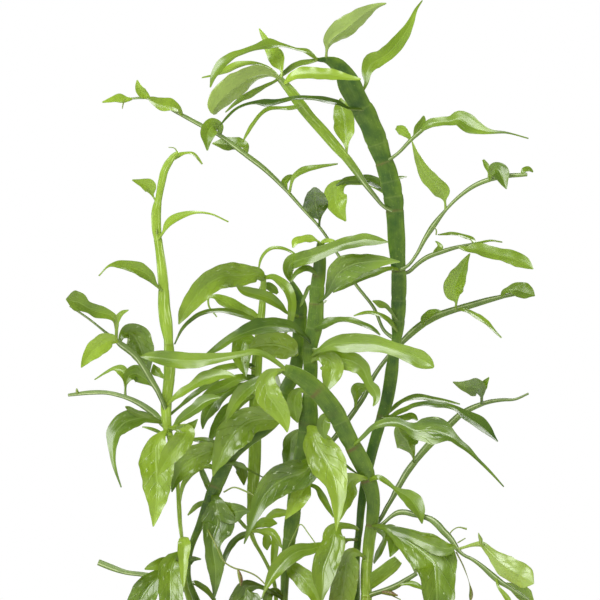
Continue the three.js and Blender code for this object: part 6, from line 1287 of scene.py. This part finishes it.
def living_surface(shade, base, rough, normal, shine, tint, share):
    """A glossy surface that also lets a share of the light through, tinted."""
    surface = shade.node("ShaderNodeBsdfPrincipled", {
        "Base Color": base, "Roughness": rough, "Normal": normal, "Specular IOR Level": shine})
    glow = shade.mixed(1.0, base, tint, "MULTIPLY")
    through = shade.node("ShaderNodeBsdfTranslucent", {"Color": glow, "Normal": normal})
    mix = shade.node("ShaderNodeMixShader", {0: share, 1: surface.outputs[0], 2: through.outputs[0]})
    return shade.finish(mix.outputs[0])


def leaf_material(settings):
    """Glossy leaf: a pale midrib, slanted side veins, fine blotches, a paler underside and painted whitish
    highlights beside the veins.
    """
    shade = Shading("leaf_blade")
    spot = shade.split("UV")
    along = spot["Y"]
    off = shade.math("ABSOLUTE", shade.math("SUBTRACT", spot["X"], 0.5))
    grown = shade.math("POWER", shade.attribute("grown"), 3.0)
    under = shade.attribute("under")
    blotch = shade.noise(42, 2.0, 0.45)
    streaks = shade.noise(1.0, 1.0, 0.5, shade.place((4.2, 6, 1), "UV"))
    streaks = shade.math("ADD", shade.drift(streaks, grown), 0.5)
    drift = shade.math("ADD", shade.drift(blotch, 0.9), shade.drift(streaks, 0.3))
    base = foliage_shades(settings, shade.math("ADD", shade.attribute("tone"), drift, True), shade)
    slanted = shade.math("SUBTRACT", along, shade.times(off, 2 * VEIN_SLANT))
    pitch = shade.times(slanted, SIDE_VEINS / 0.775)
    near = shade.math("ABSOLUTE", shade.math("SUBTRACT", shade.math("FRACT", pitch), 0.5))
    vein = shade.times(shade.ranged(near, 0.44, 0.495), grown)
    rib = shade.ranged(off, 0.045, 0.012)
    lines = shade.math("MAXIMUM", shade.times(vein, 0.1), shade.times(rib, 0.38))
    base = shade.mixed(lines, base, shade.mixed(0.6, base, colour(176, 204, 112)))
    base = shade.mixed(under, base, shade.mixed(0.62, base, tuple(settings.under_green)))
    edge = shade.times(shade.ranged(off, 0.47, 0.5), 0.35)
    base = shade.mixed(edge, base, colour(120, 132, 52))
    # Painted highlight: whitish streaks beside the side veins, on the upper face of grown leaves
    highlight_noise = shade.noise(1.0, 3.0, 0.6, shade.place((7, 15, 1), "UV"))
    highlight_band = shade.times(shade.ranged(near, 0.26, 0.42), shade.ranged(near, 0.5, 0.44))
    painted_highlight = shade.times(shade.ranged(highlight_noise, 0.58, 0.67), shade.ranged(highlight_band, 0.0, 1.0, 0.15, 1.0))
    painted_highlight = shade.times(painted_highlight, shade.math("SUBTRACT", grown, under, True))
    base = shade.mixed(shade.times(painted_highlight, 0.75), base, colour(218, 234, 186))
    normal = shade.bump(streaks, 0.0022, 0.55)
    normal = shade.bump(shade.times(shade.math("MAXIMUM", vein, rib), grown), 0.0004, 0.6, normal)
    rough = shade.ranged(streaks, 0.3, 0.7, 0.2, 0.36)
    return living_surface(shade, base, rough, normal, 0.75, (1.0, 1.0, 0.55, 1.0), 0.36)


def ribbon_material(settings):
    """Smooth ribbon: fine lengthwise grain, a lighter strip by one edge, painted shade towards both sides,
    painted whitish sheen streaks and pale rings at the joints.
    """
    shade = Shading("stem_ribbon")
    across = shade.split("UV")["X"]
    off = shade.math("ABSOLUTE", shade.math("SUBTRACT", across, 0.5))
    tone = shade.attribute("tone")
    twig = shade.attribute("twig")
    grain = shade.noise(1.0, 2.0, 0.6, shade.place((46, 9, 1), "UV"))
    blotch = shade.noise(120, 3.0)
    flecks = shade.noise(900, 2.0, 0.7)
    strip = shade.times(shade.ranged(across, 0.62, 0.95), 0.12)
    toned = shade.math("ADD", shade.math("ADD", tone, shade.drift(blotch, 0.46)), strip, True)
    base = foliage_shades(settings, toned, shade)
    base = shade.mixed(1.0, base, shade.ranged(grain, 0.25, 0.75, 0.8, 1.16), "MULTIPLY")
    # Painted shade: darker green towards both sides, where the ribbon rounds over to its edges
    side = shade.times(shade.ranged(off, 0.26, 0.46), shade.ranged(tone, 0.3, 0.8, 0.1, 0.4))
    base = shade.mixed(side, base, colour(86, 122, 34))
    light = shade.times(shade.ranged(flecks, 0.62, 0.74), 0.22)
    base = shade.mixed(light, base, colour(188, 204, 92))
    # Painted sheen: pale whitish streaks along the ribbon, stronger on the lighter ribbons
    sheen_noise = shade.noise(1.0, 3.0, 0.6, shade.place((6, 5, 1), "UV"))
    painted_sheen = shade.times(shade.ranged(sheen_noise, 0.54, 0.66), shade.ranged(tone, 0.15, 0.6, 0.03, 0.6))
    base = shade.mixed(painted_sheen, base, colour(206, 226, 150))
    bark = shade.mixed(shade.ranged(off, 0.15, 0.5), colour(108, 128, 76), colour(50, 68, 28))
    base = shade.mixed(shade.times(twig, shade.ranged(grain, 0.3, 0.7, 0.35, 0.8)), base, bark)
    line = shade.ranged(shade.math("ABSOLUTE", shade.math("SUBTRACT", across, 0.34)), 0.13, 0.03)
    base = shade.mixed(shade.times(line, shade.times(twig, blotch)), base, colour(206, 216, 168))
    base = shade.mixed(shade.times(shade.attribute("joint"), 0.2), base, colour(132, 152, 76))
    ragged = shade.times(shade.attribute("scar"), shade.ranged(flecks, 0.3, 0.62, 0.35, 1.0), True)
    ragged = shade.times(ragged, shade.ranged(across, 0.85, 0.35, 0.3, 1.0))
    base = shade.mixed(ragged, base, colour(104, 66, 40))
    edge = shade.times(shade.ranged(off, 0.46, 0.5), 0.4)
    base = shade.mixed(edge, base, colour(140, 160, 70))
    normal = shade.bump(grain, 0.00012, 0.5)
    normal = shade.bump(flecks, 0.00005, 0.3, normal)
    rough = shade.ranged(grain, 0.2, 0.8, 0.3, 0.48)
    return living_surface(shade, base, rough, normal, 0.38, (1.0, 1.0, 0.5, 1.0), 0.14)


def clay_material(settings):
    """Fired clay: soft speckle, turning lines, a pale lime bloom and a damp band under the rim."""
    shade = Shading("fired_clay")
    height = shade.split("Object")["Z"]
    patches = shade.noise(22, 5.0, 0.62)
    grit = shade.noise(700, 3.0, 0.6)
    lines = shade.noise(1.0, 3.0, 0.6, shade.place((3, 3, 260)))
    base = shade.mixed(shade.ranged(grit, 0.25, 0.75), tuple(settings.clay), colour(164, 88, 54))
    base = shade.mixed(shade.ranged(patches, 0.35, 0.75, 0.0, 0.45), base, colour(214, 140, 100))
    low = shade.ranged(height, 0.085, 0.012)
    bloom = shade.times(shade.ranged(patches, 0.47, 0.66), shade.ranged(low, 0.0, 1.0, 0.25, 0.85))
    bloom = shade.times(bloom, shade.ranged(grit, 0.3, 0.62, 0.3, 1.0))
    base = shade.mixed(bloom, base, tuple(settings.bloom))
    damp = shade.times(shade.ranged(height, 0.099, 0.104), 0.16)
    base = shade.mixed(damp, base, colour(120, 60, 38))
    rim = shade.times(shade.ranged(height, 0.1275, 0.1298), 0.5)
    base = shade.mixed(rim, base, colour(222, 160, 124))
    normal = shade.bump(lines, 0.0004, 0.5)
    normal = shade.bump(grit, 0.00018, 0.6, normal)
    surface = shade.node("ShaderNodeBsdfPrincipled", {
        "Base Color": base, "Roughness": shade.ranged(patches, 0.3, 0.7, 0.78, 0.94), "Normal": normal})
    return shade.finish(surface.outputs[0])


def soil_material(settings, name, is_crumb):
    """Damp soil: dark crumbs and paler fibre, and on the loose crumbs bark and white grains as well."""
    shade = Shading(name)
    coarse = shade.noise(260, 4.0, 0.65)
    fine = shade.noise(1500, 3.0, 0.7)
    base = shade.mixed(shade.ranged(coarse, 0.3, 0.7), colour(30, 21, 15), tuple(settings.soil))
    base = shade.mixed(shade.ranged(fine, 0.55, 0.8, 0.0, 0.6), base, colour(104, 78, 54))
    if is_crumb:
        kind = shade.attribute("tone")
        base = shade.mixed(shade.ranged(kind, 0.3, 0.5), base, colour(112, 74, 46))
        base = shade.mixed(shade.ranged(kind, 0.75, 0.95), base, colour(222, 216, 202))
    normal = shade.bump(coarse, 0.0012, 0.6)
    normal = shade.bump(fine, 0.0004, 0.7, normal)
    surface = shade.node("ShaderNodeBsdfPrincipled", {
        "Base Color": base, "Roughness": shade.ranged(fine, 0.3, 0.7, 0.72, 0.96), "Normal": normal})
    return shade.finish(surface.outputs[0])


def floor_material(settings):
    shade = Shading("studio_floor")
    cloud = shade.ranged(shade.noise(6, 2.0), 0.3, 0.7, 0.0, 0.06)
    base = shade.mixed(cloud, tuple(settings.floor), (0.7, 0.7, 0.7, 1.0))
    surface = shade.node("ShaderNodeBsdfPrincipled", {"Base Color": base, "Roughness": 0.9})
    return shade.finish(surface.outputs[0])


# Operators, one for each piece or group of like pieces


def inner_radius(z):
    """The radius of the pot's inside at a height."""
    foot = FOOT_RADIUS - WALL
    top = RIM_RADIUS - WALL - RIM_BAND_STEP / 2
    return foot + (top - foot) * (z - POT_FLOOR) / (POT_HEIGHT - POT_FLOOR)


class OBJECT_OT_clay_pot(bpy.types.Operator):
    """Turns the clay pot, with its rim band, rounded edges and drain holes"""
    bl_idname = "object.ribbon_plant_pot"
    bl_label = "Clay pot"

    def execute(self, context):
        band = POT_HEIGHT - RIM_BAND_HEIGHT
        wall_top = RIM_RADIUS - 2 * RIM_BAND_STEP
        inside = inner_radius(POT_HEIGHT)
        rings = [
            (FOOT_RADIUS - 2, 0), (FOOT_RADIUS - 0.8, 0.3), (FOOT_RADIUS, 1.4),
            (FOOT_RADIUS + (wall_top - FOOT_RADIUS) * 0.3, band * 0.3),
            (FOOT_RADIUS + (wall_top - FOOT_RADIUS) * 0.65, band * 0.65),
            (wall_top - 0.3, band - 2), (wall_top + 0.2, band - 0.4), (RIM_RADIUS - 4, band),
            (RIM_RADIUS - 3, band + 0.5), (RIM_RADIUS - 2.5, band + 1.6), (RIM_RADIUS - 1.6, band + 9),
            (RIM_RADIUS - 0.5, POT_HEIGHT - 5), (RIM_RADIUS, POT_HEIGHT - 2.4),
            (RIM_RADIUS - 0.6, POT_HEIGHT - 0.9), (RIM_RADIUS - 2, POT_HEIGHT - 0.1),
            (RIM_RADIUS - 3.4, POT_HEIGHT), (inside + 1.4, POT_HEIGHT - 0.2),
            (inside + 0.3, POT_HEIGHT - 1.2), (inner_radius(POT_HEIGHT - 4), POT_HEIGHT - 4),
            (inner_radius(POT_FLOOR + 3), POT_FLOOR + 3), (inner_radius(POT_FLOOR) - 2, POT_FLOOR),
        ]
        pot = turned("clay_pot", rings, POT_SIDES)
        holes = []
        for angle in np.arange(DRAIN_HOLES) / DRAIN_HOLES * 2 * math.pi:
            holes.append((DRAIN_HOLE_CIRCLE * math.cos(angle), DRAIN_HOLE_CIRCLE * math.sin(angle),
                          DRAIN_HOLE_RADIUS))
        outwards(pot)
        cut_round_holes(pot, holes, -5, POT_FLOOR + 5)
        settle(pot, clay_material(context.scene.clay_pot), "terracotta", "pot", smooth=35)
        return {"FINISHED"}


def soil_height(x, y):
    """The height of the lumpy soil in millimetres at a place."""
    rim = inner_radius(SOIL_LEVEL) - SOIL_GAP
    lump = SOIL_LUMP * sum(height * math.sin(a * x + b * y + phase) for a, b, phase, height in SOIL_RIPPLES)
    fine = SOIL_GRAIN * noise.fractal(Vector((x, y, 3.7)) * 0.16, 0.9, 2.1, 4)
    fade = 1 - float(smooth_step(math.hypot(x, y), rim * 0.8, rim))
    return SOIL_LEVEL + (lump + fine) * fade


def stem_feet():
    """x and y of each stem's foot."""
    return [place(*stem["line"][0][:3])[:2] for _, stem, *_ in STEMS]


class OBJECT_OT_potting_soil(bpy.types.Operator):
    """Fills the pot with lumpy soil that has a hole for each stem"""
    bl_idname = "object.ribbon_plant_soil"
    bl_label = "Potting soil"

    def execute(self, context):
        bottom = POT_FLOOR + SOIL_GAP
        rim = inner_radius(SOIL_LEVEL) - SOIL_GAP
        rings = [(inner_radius(bottom) - SOIL_GAP - 2, bottom),
                 (inner_radius(bottom + 4) - SOIL_GAP, bottom + 4)]
        rings += [(rim * share, SOIL_LEVEL) for share in np.linspace(1, 0.02, SOIL_RINGS)]
        soil = turned("potting_soil", rings, SOIL_SIDES)
        outwards(soil)
        for vertex in soil.data.vertices:
            x, y, z = vertex.co / MM
            if z > SOIL_LEVEL - 1:
                vertex.co.z = soil_height(x, y) * MM
        holes = [(x, y, STEM_HOLE_RADIUS) for x, y in stem_feet()]
        cut_round_holes(soil, holes, STEM_FOOT - 1, POT_HEIGHT)
        settle(soil, soil_material(context.scene.clay_pot, "damp_soil", False), "soil", "soil", smooth=60)
        return {"FINISHED"}


class OBJECT_OT_soil_crumbs(bpy.types.Operator):
    """Strews crumbs of soil, bits of bark and white grains over the soil"""
    bl_idname = "object.ribbon_plant_crumbs"
    bl_label = "Loose crumbs"

    def execute(self, context):
        rng = random.Random(17)
        deselect_all()
        bpy.ops.mesh.primitive_ico_sphere_add(subdivisions=2, radius=1)
        crumb = bpy.context.object
        master = coordinates(crumb.data)
        parts = []
        rim = inner_radius(SOIL_LEVEL) - SOIL_GAP
        feet = stem_feet()
        while len(parts) < CRUMBS:
            x, y = rng.uniform(-rim, rim), rng.uniform(-rim, rim)
            kind = rng.choices([0.1, 0.5, 1.0], [0.66, 0.24, 0.10])[0]
            size = rng.uniform(0.7, 2.2) * (1.25 if kind == 0.5 else 1)
            stretch = np.array([rng.uniform(0.8, 1.7 if kind == 0.5 else 1.2), rng.uniform(0.7, 1.1),
                                rng.uniform(0.5, 0.8)])
            turn = rng.uniform(0, 2 * math.pi)
            seed = Vector([rng.uniform(0, 50) for _ in range(3)])
            clear = min(math.hypot(x - fx, y - fy) for fx, fy in feet)
            if math.hypot(x, y) > rim - 2.6 or clear < CRUMB_CLEARANCE + size:
                continue
            bumps = np.array([0.85 + 0.4 * noise.noise(Vector(point) * 1.3 + seed) for point in master])
            shaped = master * bumps[:, None] * stretch * size
            spin = np.array(Matrix.Rotation(turn, 3, "Z"))
            shaped = shaped @ spin.T + (x, y, soil_height(x, y) + 0.25 * size)
            mesh = crumb.data.copy()
            mesh.vertices.foreach_set("co", (shaped * MM).ravel())
            mark(mesh, "tone", kind)
            part = bpy.data.objects.new("crumb", mesh)
            context.collection.objects.link(part)
            parts.append(part)
        bpy.data.objects.remove(crumb)
        crumbs = joined("soil_crumbs", parts)
        settle(crumbs, soil_material(context.scene.clay_pot, "loose_crumbs", True), "soil", smooth=40)
        return {"FINISHED"}


def stem_piece(name, parts, material, slot, node, smooth):
    """The parts of one stem's piece, joined and finished."""
    piece = joined(name, parts)
    outwards(piece)
    return settle(piece, material, slot, node, smooth=smooth)


class OBJECT_OT_stem_ribbons(bpy.types.Operator):
    """Draws each stem's flat jointed ribbon with its side branches"""
    bl_idname = "object.ribbon_plant_ribbons"
    bl_label = "Flat jointed stems"

    def execute(self, context):
        material = ribbon_material(context.scene.ribbon_plant)
        for key, stem, slot, tone, branch_tone, _ in STEMS:
            parts = [ribbon(stem, RIBBON_THICKNESS, tone, FOOT_TONES[key], SCARS[key])]
            for side in stem["branches"]:
                parts.append(ribbon(side, BRANCH_THICKNESS, branch_tone, branch_tone, is_branch=True))
            stem_piece(key + "_ribbon", parts, material, slot, stem["name"], 60)
        return {"FINISHED"}


class OBJECT_OT_stem_leaves(bpy.types.Operator):
    """Hangs the leaves on each stem: one veined blade, copied and bent for every leaf"""
    bl_idname = "object.ribbon_plant_leaves"
    bl_label = "Leaves"

    def execute(self, context):
        settings = context.scene.ribbon_plant
        material = leaf_material(settings)
        blade = master_blade(settings.vein_depth)
        for number, (key, stem, slot, _, _, leaf_tone) in enumerate(STEMS):
            rng = random.Random(101 + number)
            parts = []
            for part in (stem, *stem["branches"]):
                for spec in part["leaves"]:
                    tone = spec["tone"]
                    if tone is None:
                        tone = leaf_tone + rng.uniform(-TONE_SPREAD, TONE_SPREAD)
                    parts.append(shaped_leaf(blade, part["line"], spec, tone, settings, rng))
            stem_piece(key + "_leaves", parts, material, slot, stem["name"], 65)
        bpy.data.objects.remove(blade)
        return {"FINISHED"}


class OBJECT_OT_thin_stalks(bpy.types.Operator):
    """Adds the thin stalks, stipules and dried buds at the joints"""
    bl_idname = "object.ribbon_plant_stalks"
    bl_label = "Thin stalks and buds"

    def execute(self, context):
        material = bpy.data.materials.get("stem_ribbon") or ribbon_material(context.scene.ribbon_plant)
        for key, stem, slot, *_ in STEMS:
            parts = [stalk(points, dryness) for points, dryness in STALKS[key]]
            stem_piece(key + "_stalks", parts, material, slot, stem["name"], 70)
        return {"FINISHED"}


class OBJECT_OT_plant_studio(bpy.types.Operator):
    """Sets up the pale floor, the soft lights and the camera"""
    bl_idname = "object.ribbon_plant_studio"
    bl_label = "Studio"

    def execute(self, context):
        settings = context.scene.plant_studio
        deselect_all()
        bpy.ops.mesh.primitive_circle_add(
            vertices=128, radius=1.5, fill_type="NGON", location=(0, 0, -0.0002))
        floor = bpy.context.object
        floor.name = "studio_floor"
        bpy.ops.object.transform_apply(location=True)
        floor.data.materials.append(floor_material(settings))
        world = bpy.data.worlds.new("studio_white")
        world.use_nodes = True
        nodes, links = world.node_tree.nodes, world.node_tree.links
        way = nodes.new("ShaderNodeTexCoord")
        split = nodes.new("ShaderNodeSeparateXYZ")
        fall = nodes.new("ShaderNodeMapRange")
        for socket, value in (("From Min", 0.16), ("From Max", 0.42), ("To Min", 1.0), ("To Max", 0.42)):
            fall.inputs[socket].default_value = value
        links.new(way.outputs["Generated"], split.inputs[0])
        links.new(split.outputs["Z"], fall.inputs["Value"])
        links.new(fall.outputs["Result"], nodes["Background"].inputs["Strength"])
        nodes["Background"].inputs["Color"].default_value = (1, 1, 1, 1)
        context.scene.world = world
        lights = [
            ("key_light", (-1.1, -1.3, 1.7), 1.5, settings.key_power),
            ("back_light", (0.7, 1.5, 1.5), 1.9, settings.back_power),
        ]
        middle = Vector((0, 0, 0.32))
        for name, spot, size, power in lights:
            data = bpy.data.lights.new(name, "AREA")
            data.shape = "DISK"
            data.size = size
            data.energy = power
            light = bpy.data.objects.new(name, data)
            light.location = spot
            light.rotation_euler = (middle - Vector(spot)).to_track_quat("-Z", "Y").to_euler()
            light.visible_camera = False
            context.collection.objects.link(light)
        lens = bpy.data.cameras.new("photo_view")
        lens.sensor_width = 36
        lens.lens = settings.lens
        camera = bpy.data.objects.new("photo_view", lens)
        camera.location = (EYE_X * MM, EYE_Y * MM, EYE_Z * MM)
        camera.rotation_euler = (math.pi / 2, 0, 0)
        context.collection.objects.link(camera)
        context.scene.camera = camera
        context.scene.view_settings.view_transform = "Standard"
        return {"FINISHED"}


OPERATORS = (
    OBJECT_OT_clay_pot,
    OBJECT_OT_potting_soil,
    OBJECT_OT_soil_crumbs,
    OBJECT_OT_stem_ribbons,
    OBJECT_OT_stem_leaves,
    OBJECT_OT_thin_stalks,
    OBJECT_OT_plant_studio,
)


class VIEW3D_PT_ribbon_plant(bpy.types.Panel):
    """Lists the plant's pieces"""
    bl_label = "Potted ribbon plant"
    bl_idname = "VIEW3D_PT_ribbon_plant"
    bl_space_type = "VIEW_3D"
    bl_region_type = "UI"
    bl_category = "Ribbon plant"

    def draw(self, context):
        for each in OPERATORS:
            self.layout.operator(each.bl_idname)


GROUPS = {
    "ribbon_plant": RibbonPlantSettings,
    "clay_pot": ClayPotSettings,
    "plant_studio": StudioSettings,
}


def register():
    for name, group in GROUPS.items():
        bpy.utils.register_class(group)
        setattr(bpy.types.Scene, name, bpy.props.PointerProperty(type=group))
    for each in (*OPERATORS, VIEW3D_PT_ribbon_plant):
        bpy.utils.register_class(each)


def unregister():
    for each in reversed((*OPERATORS, VIEW3D_PT_ribbon_plant)):
        bpy.utils.unregister_class(each)
    for name, group in GROUPS.items():
        delattr(bpy.types.Scene, name)
        bpy.utils.unregister_class(group)


def main():
    register()
    bpy.ops.object.ribbon_plant_pot()
    bpy.ops.object.ribbon_plant_soil()
    bpy.ops.object.ribbon_plant_crumbs()
    bpy.ops.object.ribbon_plant_ribbons()
    bpy.ops.object.ribbon_plant_leaves()
    bpy.ops.object.ribbon_plant_stalks()
    bpy.ops.object.ribbon_plant_studio()


if __name__ == "__main__":
    main()
